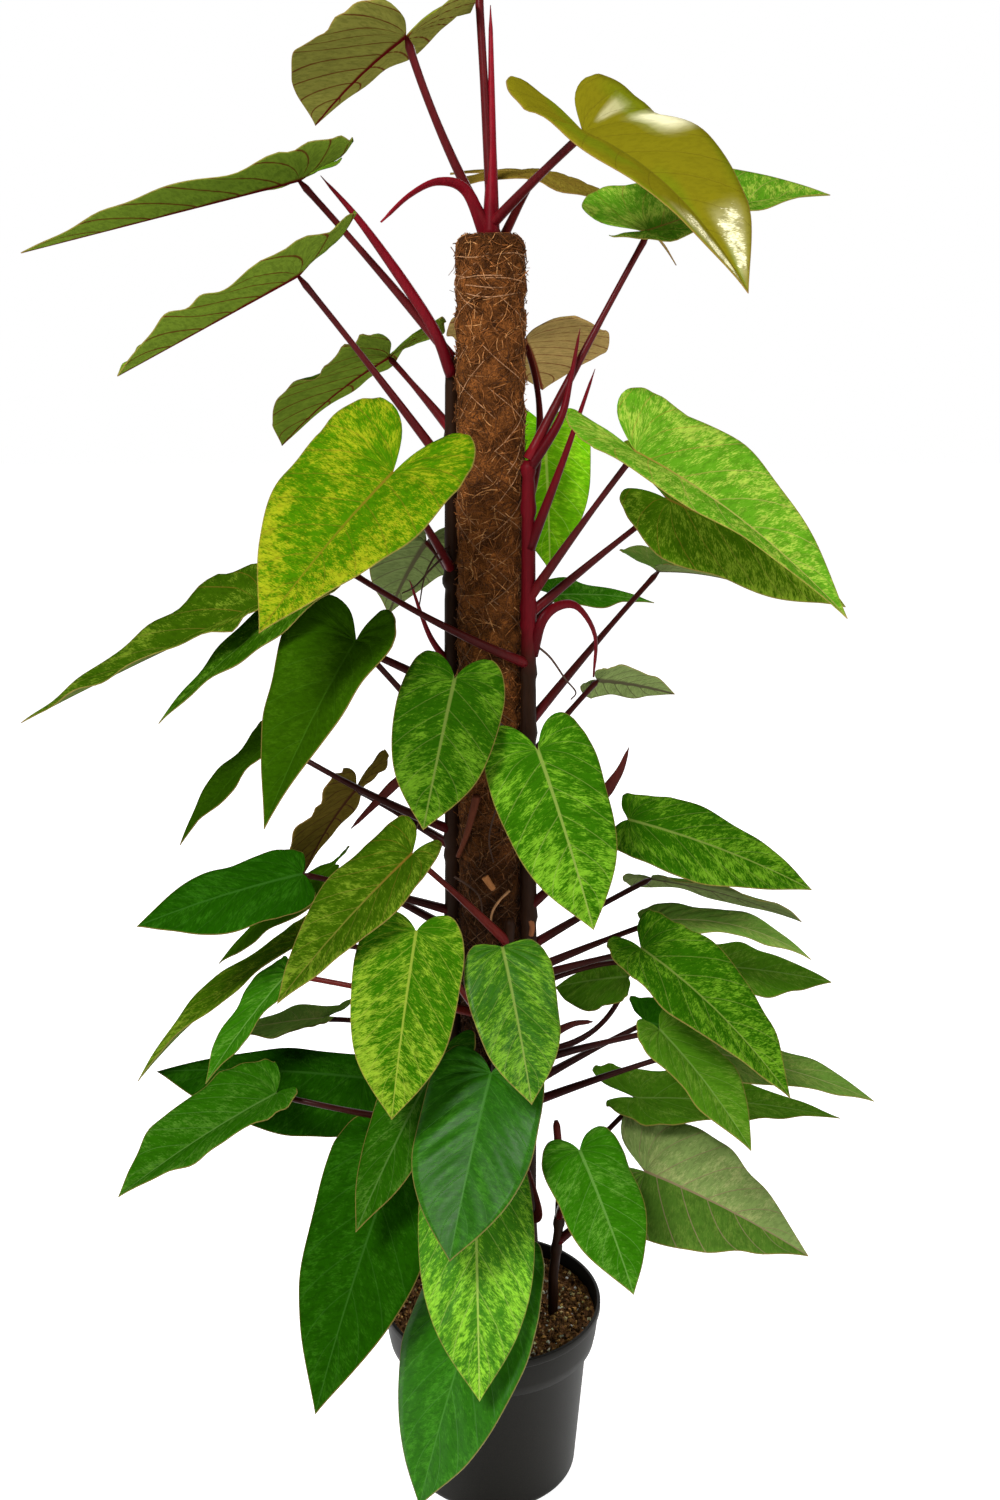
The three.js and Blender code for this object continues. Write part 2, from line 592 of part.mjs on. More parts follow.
// A stem with its stalks and shoots grown into it
function makeStem(name) {
  const stem = STEMS[name];
  const heights = [];
  const steps = Math.round((stem.top - STEM_FOOT) / STEM_STEP);
  for (let i = 0; i <= steps; i += 1) {
    heights.push(lerp(STEM_FOOT, stem.top, i / steps));
  }
  const curve = new THREE.CatmullRomCurve3(heights.map((height) => stemPoint(name, height)));
  let solid = limb(curve, steps, STEM_SIDES, (share) => {
    const radius = stem.radius * (1 - 0.3 * share ** 3);
    return [radius, radius];
  });
  for (const leaf of LEAVES.filter((item) => item.stem === name)) {
    solid = solid.add(makeStalk(leaf));
  }
  for (const shoot of SHOOTS.filter((item) => item.stem === name)) {
    solid = solid.add(makeShoot(shoot));
  }
  return toGeometry(solid);
}

const plant = new THREE.Group();

function addPiece(name, geometry, color, roughness) {
  const material = new THREE.MeshStandardMaterial({ color, roughness, metalness: 0 });
  const mesh = new THREE.Mesh(geometry, material);
  mesh.name = name;
  plant.add(mesh);
}

addPiece("pot", makePot(), 0x2b2b2c, 0.7);
addPiece("soil", makeSoil(), 0x35241a, 1);
addPiece("pole_core", makeStake(), 0xa98556, 0.9);
addPiece("coir_sleeve", makeSleeve(), 0x7a5230, 1);
for (const name of Object.keys(STEMS)) {
  addPiece("stem_" + name, makeStem(name), 0x4a1c22, 0.5);
}
for (const leaf of LEAVES) {
  const young = leaf.number < 10;
  const low = leaf.joint < 450;
  const color = young ? 0x8f9440 : low ? 0x2f7a1d : 0x57a026;
  addPiece("blade_" + String(leaf.number).padStart(2, "0"), makeBlade(leaf), color, 0.45);
}

export default plant;
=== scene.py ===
import math

import bmesh
import bpy
import numpy as np
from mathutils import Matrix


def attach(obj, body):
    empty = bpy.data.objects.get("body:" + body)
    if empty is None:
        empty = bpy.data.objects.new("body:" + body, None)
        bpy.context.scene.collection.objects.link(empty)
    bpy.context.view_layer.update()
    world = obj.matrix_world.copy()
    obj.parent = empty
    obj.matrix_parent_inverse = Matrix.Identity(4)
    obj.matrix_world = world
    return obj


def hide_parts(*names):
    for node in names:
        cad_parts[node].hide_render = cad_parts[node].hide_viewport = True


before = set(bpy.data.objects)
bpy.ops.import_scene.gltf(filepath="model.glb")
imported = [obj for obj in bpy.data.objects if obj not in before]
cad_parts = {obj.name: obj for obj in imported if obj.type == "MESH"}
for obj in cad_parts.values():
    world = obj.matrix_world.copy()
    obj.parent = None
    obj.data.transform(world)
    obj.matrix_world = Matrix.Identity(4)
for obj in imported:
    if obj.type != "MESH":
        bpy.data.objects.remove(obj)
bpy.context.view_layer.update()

# Looks of the potted painted lady philodendron. Lengths are millimetres, as in the part's source,
# and each mesh is scaled to metres when it is made. Object coordinates and the studio are in metres.
MM = 0.001
rng = np.random.default_rng(27)

# Pole and pot, as in the part
POT_HEIGHT = 194
RIM_RADIUS = 110
COLLAR_FOOT_RADIUS = 104
COLLAR_HEIGHT = 44
BODY_TOP_RADIUS = 97
BODY_FOOT_RADIUS = 86
FOOT_ROUNDING = 10
POT_WALL = 2.2
POT_FLOOR = 3
SOIL_TOP = 178
POLE_TOP = 1228
SLEEVE_RADIUS = 29
SLEEVE_FOOT = 120
SLEEVE_SHOULDER = 6
BINDING_PITCH = 78
DRAIN_HOLES = 6
DRAIN_CIRCLE_RADIUS = 55
DRAIN_RADIUS = 6

# Stems, as in the part: direction at the soil and at the head in degrees, head, radius, reach
STEMS = {
    "back": (100, 88, 1240, 8, 0),
    "right": (-20, -33, 1045, 8, 0),
    "left": (170, 152, 1130, 8, 0),
    "front": (-112, -62, 625, 7, 0),
    "side": (-5, -5, 400, 5, 62),
}
STEM_FOOT = 146
STRAIGHT_TOP = 222
# Gap between a stem and the sleeve, and how much further out its foot stands
STEM_CLEARANCE = 1.6
STEM_SPREAD = 7

# Leaves, as in the part: number, stem, joint, base, tip, width, roll, fold, arch, lobe, wide, full, sway
LEAVES = [
    (1, "back", 1226, (-70, 30, 1385), (-165, 200, 1325), 145, -9, 21, 0.02, 0.2, 0.14, 2.2, (-10, 0, -6)),
    (2, "back", 1232, (-10, 60, 1425), (50, 230, 1455), 120, 0, 15, 0.05, 0.22, 0.08, 2.0),
    (3, "back", 1236, (75, -50, 1305), (195, -170, 1185), 156, 4, 22, 0.08, 0.25, 0.05, 2.4),
    (4, "right", 1042, (135, 20, 1230), (295, 60, 1260), 130, 20, 24, 0.04, 0.28, 0.08, 2.0),
    (5, "back", 1205, (40, 120, 1280), (170, 130, 1200), 130, 7, 4, 0.12, 0.42, 0.08, 2.0),
    (6, "right", 1007, (30, 90, 1135), (50, 220, 1080), 150, 0, 15, 0.04, 0.25, 0.15, 2.4, (24, 0, 0)),
    (7, "left", 1125, (-160, 0, 1271), (-380, -60, 1213), 128, 10, 18, 0.0, 0.2, 0.08, 2.0),
    (8, "left", 1024, (-160, -30, 1195), (-295, -120, 1120), 132, 18, 22, 0.0, 0.32, 0.42, 3.0),
    (9, "left", 1062, (-92, 70, 1122), (-205, 180, 1030), 148, -9, 15, 0.03, 0.2, 0.08, 2.6),
    (10, "left", 938, (-80, -95, 1040), (-180, -200, 930), 144, -21, 21, 0.03, 0.29, 0.04, 2.3),
    (11, "right", 919, (120, -80, 1055), (275, -215, 945), 124, 12, 28, 0.05, 0.22, 0.0, 2.0),
    (12, "right", 905, (160, 20, 1000), (330, 60, 895), 135, 35, 0, 0.04, 0.27, 0.08, 2.2),
    (13, "right", 804, (160, 110, 920), (255, 190, 890), 100, 5, 20, 0.03, 0.2, 0.1, 2.0),
    (14, "right", 770, (100, 60, 825), (180, 120, 795), 44, -50, 5, 0.03, 0.1, 0.1, 2.4),
    (15, "back", 1000, (50, 130, 1050), (55, 80, 925), 86, 0, 8, 0.04, 0.15, 0.1, 2.6, (-35, 106, 0)),
    (16, "back", 830, (60, 90, 900), (160, 150, 880), 65, 14, 10, 0.03, 0.15, 0.1, 1.4),
    (17, "right", 770, (-30, -110, 870), (-55, -180, 760), 90, -14, 0, 0.03, 0.16, 0.12, 3.0),
    (18, "right", 705, (40, -120, 810), (85, -200, 680), 98, 16, 0, 0.04, 0.18, 0.12, 3.0),
    (19, "right", 625, (125, -40, 720), (290, -60, 660), 90, 27, 3, 0.04, 0.07, 0.2, 2.4),
    (22, "right", 585, (155, 50, 629), (315, 110, 558), 115, -20, 5, 0.03, 0.05, 0.12, 2.4),
    (23, "right", 560, (155, 10, 600), (305, 0, 565), 62, 3, 12, 0.1, 0.1, 0.2, 2.6),
    (24, "right", 553, (135, -90, 615), (260, -170, 510), 105, 8, 19, 0.06, 0.13, 0.12, 2.4),
    (25, "back", 490, (180, 70, 529), (345, 90, 500), 82, 15, 5, 0.03, 0.1, 0.2, 2.6, (0, 0, 40)),
    (26, "back", 450, (135, 60, 520), (65, 110, 485), 76, -25, 0, 0.02, 0.1, 0.2, 2.4, (45, 0, -60)),
    (27, "right", 440, (155, 60, 470), (265, 90, 420), 90, 20, 5, 0.03, 0.12, 0.2, 2.4),
    (28, "right", 464, (150, -120, 550), (225, -190, 470), 74, 0, 18, 0.04, 0.12, 0.2, 2.6),
    (29, "right", 420, (190, 0, 470), (370, -20, 425), 100, -3, 10, 0.04, 0.1, 0.2, 2.4),
    (30, "side", 330, (150, 60, 385), (365, 100, 340), 112, 3, 12, 0.03, 0.2, 0.12, 1.4),
    (32, "side", 260, (152, -10, 342), (305, -70, 286), 148, 21, 8, 0.04, 0.26, 0.1, 1.6),
    (33, "side", 290, (80, -130, 435), (125, -210, 340), 82, 4, 8, 0.03, 0.12, 0.15, 2.8),
    (34, "front", 520, (10, -120, 630), (35, -200, 520), 80, 0, 10, 0.03, 0.03, 0.22, 3.0),
    (35, "front", 496, (-65, -120, 645), (-85, -190, 500), 98, -5, 20, 0.03, 0.1, 0.2, 3.0),
    (36, "front", 597, (-70, -90, 705), (-185, -150, 590), 82, -18, 22, 0.03, 0.14, 0.15, 2.4),
    (37, "left", 770, (-115, -80, 895), (-190, -150, 750), 132, -3, 26, 0.03, 0.17, 0.04, 1.5),
    (38, "left", 826, (-210, 20, 905), (-430, 0, 800), 142, -10, 24, 0.01, 0.16, 0.12, 0.75),
    (39, "right", 860, (-125, -40, 950), (-300, -20, 805), 90, -15, 10, 0.03, 0.16, 0.12, 2.6, (0, -60, 0)),
    (40, "left", 935, (-60, 70, 955), (-105, 190, 860), 88, 8, 12, 0.03, 0.2, 0.1, 2.2),
    (42, "left", 691, (-205, 30, 775), (-295, 20, 674), 88, -5, 15, 0.03, 0.12, 0.15, 2.4, (0, -38, 0)),
    (43, "left", 675, (-130, 50, 720), (-190, 110, 610), 95, -10, 15, 0.03, 0.25, 0.1, 3.2),
    (45, "left", 610, (-175, -20, 660), (-325, -50, 620), 87, -25, 0, 0.03, 0.04, 0.25, 2.4),
    (46, "left", 590, (-155, 50, 640), (-275, 80, 525), 80, -12, 0, 0.03, 0.1, 0.2, 2.4),
    (47, "left", 555, (-185, 60, 560), (-355, 40, 415), 76, 2, 20, 0.05, 0.1, 0.25, 2.6),
    (48, "front", 520, (-195, 0, 550), (-270, -50, 460), 52, 0, 22, 0.03, 0.1, 0.25, 2.4),
    (49, "back", 470, (-175, 100, 455), (-295, 160, 405), 80, 0, 10, 0.02, 0.2, 0.1, 2.2),
    (52, "left", 400, (-125, 0, 440), (-340, 60, 415), 125, -22, -20, 0.03, 0.15, 0.15, 2.2),
    (53, "left", 380, (-200, -80, 465), (-335, -150, 400), 94, -6, 28, 0.03, 0.1, 0.22, 2.6, (0, -95, 45)),
    (54, "front", 430, (-42, -85, 515), (-120, -175, 380), 72, -8, 10, 0.03, 0.13, 0.2, 2.6),
    (55, "front", 400, (0, -125, 510), (-35, -235, 390), 110, 0, 10, 0.03, 0.12, 0.2, 3.0),
    (56, "front", 330, (-15, -130, 425), (-10, -230, 245), 104, 0, 8, 0.03, 0.1, 0.3, 2.4),
    (57, "front", 255, (5, -110, 315), (-65, -220, 125), 138, 9, 8, 0.03, 0.1, 0.28, 2.6),
    (58, "left", 330, (-85, -80, 410), (-160, -190, 200), 134, -4, 10, 0.03, 0.08, 0.12, 2.4),
]

# Rolled new leaves and sheaths, as in the part but for the slimmer left spear and the last sheath,
# which only this script has: stem, path, half widths, thin half widths
SHOOTS = [
    ("left", [(-34, 14, 1110), (-52, 6, 1155), (-104, -3, 1231), (-141, -5, 1274)], (5.5, 4.6, 1), None),
    ("back", [(0, 38, 1225), (1, 46, 1300), (0, 60, 1412)], (8, 4, 1.5), None),
    ("back", [(-3, 38, 1222), (-20, 32, 1262), (-43, 15, 1270), (-67, 0, 1259), (-91, -15, 1237)],
     (6, 4, 2), (3, 1.2, 1)),
    ("right", [(34, -22, 1035), (59, -20, 1075), (68, -15, 1108), (76, -10, 1151)], (5, 3, 1), None),
    ("right", [(34, -22, 965), (62, -30, 1042), (88, -32, 1119)], (5, 3, 1), None),
    ("right", [(37, -20, 868), (45, -24, 900), (60, -14, 912), (78, -2, 908), (94, 6, 880), (93, 4, 842)],
     (5, 4, 2), (3, 1.2, 1)),
    ("right", [(35, -19, 712), (90, -24, 730), (114, -22, 756), (125, -20, 783)], (4, 6, 1), (3, 1.5, 1)),
    ("left", [(-37, 14, 850), (-56, 10, 880), (-72, -10, 934)], (4, 2.5, 1), None),
    ("left", [(-37, 12, 770), (-80, 6, 747), (-105, 0, 725), (-130, -10, 701)], (4, 5, 1.5), (3, 1.2, 1)),
    ("right", [(40, -18, 462), (58, -16, 492), (77, -10, 502), (97, -10, 505)], (4, 4, 2), (2.5, 1.2, 1)),
    ("right", [(40, -22, 296), (46, -34, 312), (42, -41, 340), (32, -42, 375)], (5, 8, 2), (3, 1.5, 1)),
]  # fmt: skip

# Colours of the leaves by kind: upper face, flecks, amount of flecks, lines, strength of the lines,
# lower face, lines below
KINDS = {
    # This kind's pale flecks are partly cream and partly a painted sheen
    "cream_and_sheen": ("6a640e", "f2ecc0", -0.9, "544610", 0.3, "6a641c", "6a2e18"),
    "young": ("66701a", "8f9226", 0.35, "6f5f20", 0.4, "706e30", "4c0a0c"),
    "fresh": ("4a7014", "7c9424", 0.35, "6f6a2c", 0.4, "5e7222", "4c0a0c"),
    "brown": ("6c5a1e", "827428", 0.3, "5c3020", 0.5, "927a48", "5c2a1c"),
    "lime": ("427404", "a4a81c", 0.45, "80601c", 0.3, "7c8a3c", "7a5a3c"),
    "clear": ("4e8216", "9cb042", 0.35, "9a8c4c", 0.45, "77842c", "6a5a34"),
    # The lit kind is painted light: leaf 15 is coloured bright, as if lit through from behind
    "lit": ("4c8806", "7ca81c", 0.3, "9cac50", 0.35, "6e9428", "4f6a20"),
    "marbled": ("265404", "6c9a22", 0.36, "7c8c40", 0.4, "5c7438", "4a4a32"),
    "pale": ("2c5c04", "84a028", 0.42, "909c38", 0.4, "5c7438", "4a4a32"),
    "olive": ("304e04", "6c8420", 0.3, "7c7430", 0.35, "5c6c34", "4a4a32"),
    "speckled": ("264c02", "5a8420", 0.25, "547430", 0.3, "56703a", "4a4a32"),
    "bright": ("2a6206", "5a8c2c", 0.2, "70984a", 0.3, "587438", "44442a"),
    "plain": ("3f6a10", "64842a", 0.2, "6c8840", 0.35, "546828", "3f3f2a"),
    "dark": ("1a4a02", "2e6410", 0.25, "3e6e28", 0.25, "44602c", "3a3a26"),
    "deep": ("264602", "345608", 0.2, "385e14", 0.3, "445628", "3a3622"),
    "dull": ("4e6c28", "6e7c3a", 0.25, "7a7a4c", 0.5, "627040", "4a4632"),
    "bronze": ("54480f", "646020", 0.25, "4c3420", 0.4, "584a1a", "3a2014"),
    "veined": ("647c42", "86925a", 0.2, "76684c", 0.9, "667444", "4a4632"),
}
# How much brighter or darker a leaf is than its kind: partly as it's younger or older, and partly painted
# light and shade. Leaves that stand in the shade are painted darker, and leaves that stand in the light, as
# 15 lit through from behind the pole, are painted brighter
SHADES = {
    4: 0.87, 9: 0.9, 10: 0.8, 12: 1.35, 14: 2.0, 15: 2.2, 17: 0.65, 18: 1.1, 19: 0.88, 23: 1.8, 24: 0.95,
    28: 1.05, 29: 1.3, 32: 1.12, 34: 1.05, 35: 1.0, 37: 0.95, 38: 0.95, 42: 0.75, 43: 0.9, 45: 0.85,
    46: 1.1, 47: 1.15, 49: 0.7, 52: 0.55, 53: 0.75, 54: 0.56, 55: 1.2, 56: 1.6, 57: 1.5, 58: 0.75,
}  # fmt: skip
# The most that SHADES brightens a lower face
BRIGHTEST_BELOW = 1.3
LOOKS = {
    1: "young", 2: "young", 3: "cream_and_sheen", 4: "clear", 5: "brown", 6: "brown", 7: "fresh", 8: "fresh",
    9: "fresh", 10: "lime", 11: "clear", 12: "olive", 13: "dull", 14: "dull", 15: "lit",
    16: "bright", 17: "marbled", 18: "marbled", 19: "marbled", 22: "dull", 23: "dull", 24: "marbled",
    25: "plain", 26: "plain", 27: "dark", 28: "plain", 29: "dull", 30: "plain", 32: "veined", 33: "bright",
    34: "marbled", 35: "pale", 36: "olive", 37: "deep", 38: "olive", 39: "speckled", 40: "dull",
    42: "deep", 43: "bronze", 45: "dark", 46: "deep", 47: "olive", 48: "bright", 49: "dull", 52: "dark",
    53: "bright", 54: "bright", 55: "dark", 56: "marbled", 57: "dark", 58: "dark",
}  # fmt: skip


def linear(text):
    """A colour written as six hexadecimal digits, as linear red, green and blue."""
    parts = np.array([int(text[i : i + 2], 16) / 255 for i in (0, 2, 4)])
    return np.where(parts <= 0.04045, parts / 12.92, ((parts + 0.055) / 1.055) ** 2.4)


def unit(vector):
    return vector / np.linalg.norm(vector)


def smooth(low, high, value):
    share = np.clip((value - low) / (high - low), 0, 1)
    return share * share * (3 - 2 * share)


def grid_faces(rows, columns, closed=False):
    """Quads over a grid of points. A closed grid joins its last column to its first."""
    index = np.arange(rows * columns).reshape(rows, columns)
    if closed:
        index = np.concatenate([index, index[:, :1]], axis=1)
    corners = (index[:-1, :-1], index[:-1, 1:], index[1:, 1:], index[1:, :-1])
    return np.stack([c.ravel() for c in corners], axis=1)


def tube_faces(rings, sides):
    """Faces of a closed tube: quads between its rings, and a face over either end"""
    last = (rings - 1) * sides
    ends = [list(range(sides))[::-1], list(range(last, last + sides))]
    return [*grid_faces(rings, sides, closed=True), *ends]


def all_round(sides):
    """Directions of a turned shape's columns"""
    return np.linspace(0, 2 * math.pi, sides, endpoint=False)[None, :]


def around(radius, turn, z):
    """Places round the pole's axis"""
    return np.stack(np.broadcast_arrays(radius * np.cos(turn), radius * np.sin(turn), z), axis=-1)


class Shape:
    """Points and faces gathered from several parts, with values at each point"""

    def __init__(self):
        self.points = []
        self.faces = []
        self.values = {}
        self.count = 0

    def add(self, points, faces, **values):
        self.points.append(points)
        self.faces.extend((np.asarray(face) + self.count).tolist() for face in faces)
        for name, value in values.items():
            full = np.broadcast_to(value, (len(points), np.shape(value)[-1]))
            self.values.setdefault(name, []).append(full)
        self.count += len(points)

    def build(self, name, material, smooth_faces=True):
        mesh = bpy.data.meshes.new(name)
        mesh.from_pydata((np.concatenate(self.points) * MM).tolist(), [], self.faces)
        for key, parts in self.values.items():
            data = np.concatenate(parts)
            kind, field = ("FLOAT_COLOR", "color") if data.shape[1] == 4 else ("FLOAT_VECTOR", "vector")
            mesh.attributes.new(key, kind, "POINT").data.foreach_set(field, data.ravel())
        if smooth_faces:
            mesh.shade_smooth()
        else:
            mesh.shade_flat()
        mesh.materials.append(material)
        thing = bpy.data.objects.new(name, mesh)
        bpy.context.scene.collection.objects.link(thing)
        return thing


def with_alpha(colour, alpha=1.0):
    """One colour, or one for each point, with its fourth value"""
    return np.concatenate([colour, np.full((*colour.shape[:-1], 1), alpha)], axis=-1)


def tube(path, wide, sides, thin=None, twist=0.0):
    """Points and faces of a closed tube along a path, with its half widths at each point of the path."""
    path = np.asarray(path, float)
    count = len(path)
    wide = np.broadcast_to(wide, count)
    thin = wide if thin is None else np.broadcast_to(thin, count)
    ahead = np.gradient(path, axis=0)
    ahead /= np.linalg.norm(ahead, axis=1, keepdims=True)
    start = np.array([0, 0, 1.0]) if abs(ahead[0][2]) < 0.9 else np.array([1.0, 0, 0])
    normal = unit(np.cross(ahead[0], start))
    turns = twist + np.arange(sides) * 2 * math.pi / sides
    rings = []
    for i in range(count):
        normal = unit(normal - ahead[i] * (normal @ ahead[i]))
        other = np.cross(ahead[i], normal)
        ring = np.outer(np.cos(turns) * thin[i], normal) + np.outer(np.sin(turns) * wide[i], other)
        rings.append(path[i] + ring)
    return np.concatenate(rings), tube_faces(count, sides)


def curve_points(places, count):
    """Points spread along a smooth line through the given places."""
    places = np.asarray(places, float)
    padded = np.vstack([2 * places[0] - places[1], places, 2 * places[-1] - places[-2]])
    result = []
    for at in np.linspace(0, len(places) - 1, count):
        i = min(int(at), len(places) - 2)
        t = at - i
        a, b, c, d = padded[i : i + 4]
        square, cube = 2 * a - 5 * b + 4 * c - d, 3 * b - a - 3 * c + d
        result.append(0.5 * (2 * b + (c - a) * t + square * t**2 + cube * t**3))
    return np.array(result)


# Materials

MARGIN = linear("8a6a3c")


def set_inputs(tree, node, inputs):
    for key, value in inputs.items():
        if isinstance(value, bpy.types.NodeSocket):
            tree.links.new(value, node.inputs[key])
        else:
            node.inputs[key].default_value = value


def add_node(tree, kind, inputs=None, **settings):
    made = tree.nodes.new(kind)
    for key, value in settings.items():
        setattr(made, key, value)
    set_inputs(tree, made, inputs or {})
    return made


def maths(tree, operation, first, second=0.0):
    return add_node(tree, "ShaderNodeMath", {0: first, 1: second}, operation=operation).outputs[0]


def times(tree, first, second):
    return maths(tree, "MULTIPLY", first, second)


def plus(tree, first, second):
    return maths(tree, "ADD", first, second)


def mixed(tree, share, first, second, blend="MIX"):
    made = add_node(
        tree, "ShaderNodeMix", {0: share, 6: first, 7: second}, data_type="RGBA", blend_type=blend
    )
    return made.outputs[2]


def ramped(tree, value, low, high, to_low=0.0, to_high=1.0):
    inputs = {0: value, 1: low, 2: high, 3: to_low, 4: to_high}
    return add_node(tree, "ShaderNodeMapRange", inputs, interpolation_type="SMOOTHSTEP").outputs[0]


def noise(tree, vector, scale, detail=2.0, rough=0.5):
    inputs = {"Vector": vector, "Scale": scale, "Detail": detail, "Roughness": rough}
    return add_node(tree, "ShaderNodeTexNoise", inputs).outputs[0]


def stretched(tree, vector, factors):
    made = add_node(tree, "ShaderNodeVectorMath", {0: vector, 1: factors}, operation="MULTIPLY")
    return made.outputs[0]


def drawn_noise(tree, vector, factors, detail=2.0, rough=0.5):
    """Noise that varies at its own rate along each axis"""
    return noise(tree, stretched(tree, vector, factors), 1.0, detail, rough)


def attribute(tree, name):
    return add_node(tree, "ShaderNodeAttribute", attribute_name=name)


def new_material(name):
    material = bpy.data.materials.new(name)
    material.use_nodes = True
    tree = material.node_tree
    shader = tree.nodes["Principled BSDF"]
    return material, tree, shader


def set_look(tree, shader, colour, rough, gloss, height, strength, distance):
    """Gives a shader its colour, roughness, gloss and bumps"""
    bump = add_node(tree, "ShaderNodeBump", {"Height": height, "Strength": strength, "Distance": distance})
    look = {"Base Color": colour, "Roughness": rough, "Specular IOR Level": gloss}
    set_inputs(tree, shader, {**look, "Normal": bump.outputs[0]})


def grey(value):
    return (value, value, value, 1)


# How fast each noise on a leaf varies across its side veins, along them and from leaf to leaf
REGION_GRAIN = (0.025, 0.035, 1)
PATCH_GRAIN = (0.26, 0.09, 1)
STREAK_GRAIN = (1.6, 0.3, 1)
SHADE_GRAIN = (0.4, 0.12, 1.7)


def leaf_material(name, gloss):
    """Ground colour with flecks drawn out along the side veins, then veins, midrib and margin.

    The fourth value of a colour is the lines' width for the ground, the amount for the flecks, and
    the strength for the lines."""
    material, tree, shader = new_material(name)
    ground = attribute(tree, "ground").outputs
    fleck = attribute(tree, "fleck").outputs
    line = attribute(tree, "line").outputs
    grain = attribute(tree, "grain").outputs["Vector"]
    vein = attribute(tree, "vein").outputs["Vector"]
    count, from_midrib, from_margin = add_node(tree, "ShaderNodeSeparateXYZ", {0: vein}).outputs

    patches = drawn_noise(tree, grain, PATCH_GRAIN, 3.0)
    streaks = drawn_noise(tree, grain, STREAK_GRAIN, 3.0, 0.6)
    both = plus(tree, times(tree, patches, 0.42), times(tree, streaks, 0.58))
    regions = ramped(tree, drawn_noise(tree, grain, REGION_GRAIN), 0.35, 0.65, 0.575, 0.475)
    low = maths(tree, "SUBTRACT", regions, times(tree, fleck["Alpha"], 0.2))
    mask = ramped(tree, both, low, plus(tree, low, 0.17), 0.0, 0.8)
    colour = mixed(tree, mask, ground["Color"], fleck["Color"])

    dark = ramped(tree, drawn_noise(tree, grain, SHADE_GRAIN, 4.0, 0.65), 0.46, 0.6)
    shade = mixed(tree, 1.0, colour, grey(0.5), "MULTIPLY")
    depth = maths(tree, "MAXIMUM", plus(tree, times(tree, fleck["Alpha"], 0.6), 0.25), 0.2)
    colour = mixed(tree, times(tree, dark, depth), colour, shade)

    off = maths(tree, "ABSOLUTE", maths(tree, "SUBTRACT", maths(tree, "FRACT", count), 0.5))
    side = ramped(tree, maths(tree, "DIVIDE", off, ground["Alpha"]), 0.006, 0.03, 1.0, 0.0)
    side_share = times(tree, side, times(tree, line["Alpha"], 0.85))
    colour = mixed(tree, side_share, colour, line["Color"])
    rib = ramped(tree, from_midrib, 0.3, 0.8, 1.0, 0.0)
    rib_share = maths(tree, "MINIMUM", times(tree, line["Alpha"], 1.5), 1.0)
    colour = mixed(tree, times(tree, rib, rib_share), colour, line["Color"])
    margin = ramped(tree, from_margin, 0.4, 1.1, 1.0, 0.0)
    colour = mixed(tree, times(tree, margin, 0.5), colour, (*MARGIN, 1))

    rough = ramped(tree, streaks, 0.3, 0.7, 0.36, 0.46)
    height = maths(tree, "SUBTRACT", times(tree, streaks, 0.35), side)
    set_look(tree, shader, colour, rough, gloss, height, 0.5, 0.0004)
    return material


def skin_material():
    """Stems, stalks and sheaths, with fine streaks along them"""
    material, tree, shader = new_material("skin")
    skin = attribute(tree, "skin")
    place = add_node(tree, "ShaderNodeTexCoord").outputs["Object"]
    streaks = drawn_noise(tree, place, (500, 500, 60), 3.0, 0.6)
    light = mixed(tree, 1.0, skin.outputs["Color"], grey(1.4), "MULTIPLY")
    share = ramped(tree, streaks, 0.35, 0.75, 0.0, 0.8)
    colour = mixed(tree, share, skin.outputs["Color"], light)
    set_look(tree, shader, colour, skin.outputs["Alpha"], 0.06, streaks, 0.25, 0.0005)
    return material


def coir_material():
    """Pressed brown fibre: fine crossing strands, darker down the pole, partly damp and partly painted
    shade under the leaves
    """
    material, tree, shader = new_material("coir")
    tone = attribute(tree, "tone")
    place = add_node(tree, "ShaderNodeTexCoord").outputs["Object"]
    bend = stretched(tree, noise(tree, place, 60.0, 2.0), (0.02, 0.02, 0.02))
    warped = add_node(tree, "ShaderNodeVectorMath", {0: place, 1: bend}, operation="ADD").outputs[0]
    upright = drawn_noise(tree, warped, (1100, 1100, 170), 4.0, 0.7)
    level = drawn_noise(tree, warped, (240, 240, 1000), 4.0, 0.7)
    strands = maths(tree, "MAXIMUM", upright, level)
    clumps = noise(tree, place, 70.0, 3.0)
    dark = mixed(tree, 1.0, tone.outputs["Color"], grey(0.28), "MULTIPLY")
    light = mixed(tree, 1.0, tone.outputs["Color"], grey(1.9), "MULTIPLY")
    colour = mixed(tree, ramped(tree, strands, 0.42, 0.72), dark, light)
    colour = mixed(tree, ramped(tree, clumps, 0.35, 0.6, 0.3, 0.0), colour, dark)
    set_look(tree, shader, colour, 0.95, 0.05, strands, 0.9, 0.0015)
    return material


def tone_material(name, rough, scale, depth, gloss=0.3):
    """A matte material in the piece's own colour, mottled and a little uneven"""
    material, tree, shader = new_material(name)
    tone = attribute(tree, "tone")
    place = add_node(tree, "ShaderNodeTexCoord").outputs["Object"]
    specks = noise(tree, place, scale, 4.0, 0.65)
    dark = mixed(tree, 1.0, tone.outputs["Color"], grey(0.45), "MULTIPLY")
    colour = mixed(tree, ramped(tree, specks, 0.35, 0.65), dark, tone.outputs["Color"])
    set_look(tree, shader, colour, rough, gloss, specks, 0.6, depth)
    return material


LEAF = leaf_material("leaf", 0.0)
GLOSSY_LEAF = leaf_material("glossy_leaf", 0.1)
SKIN = skin_material()
COIR = coir_material()
FIBRE = tone_material("fibre", 0.7, 300.0, 0.0003, 0.1)
PEAT = tone_material("peat", 1.0, 380.0, 0.002, 0.1)
PLASTIC = tone_material("plastic", 0.5, 900.0, 0.00006, 0.09)


# Geometry of stems and leaves, as in the part


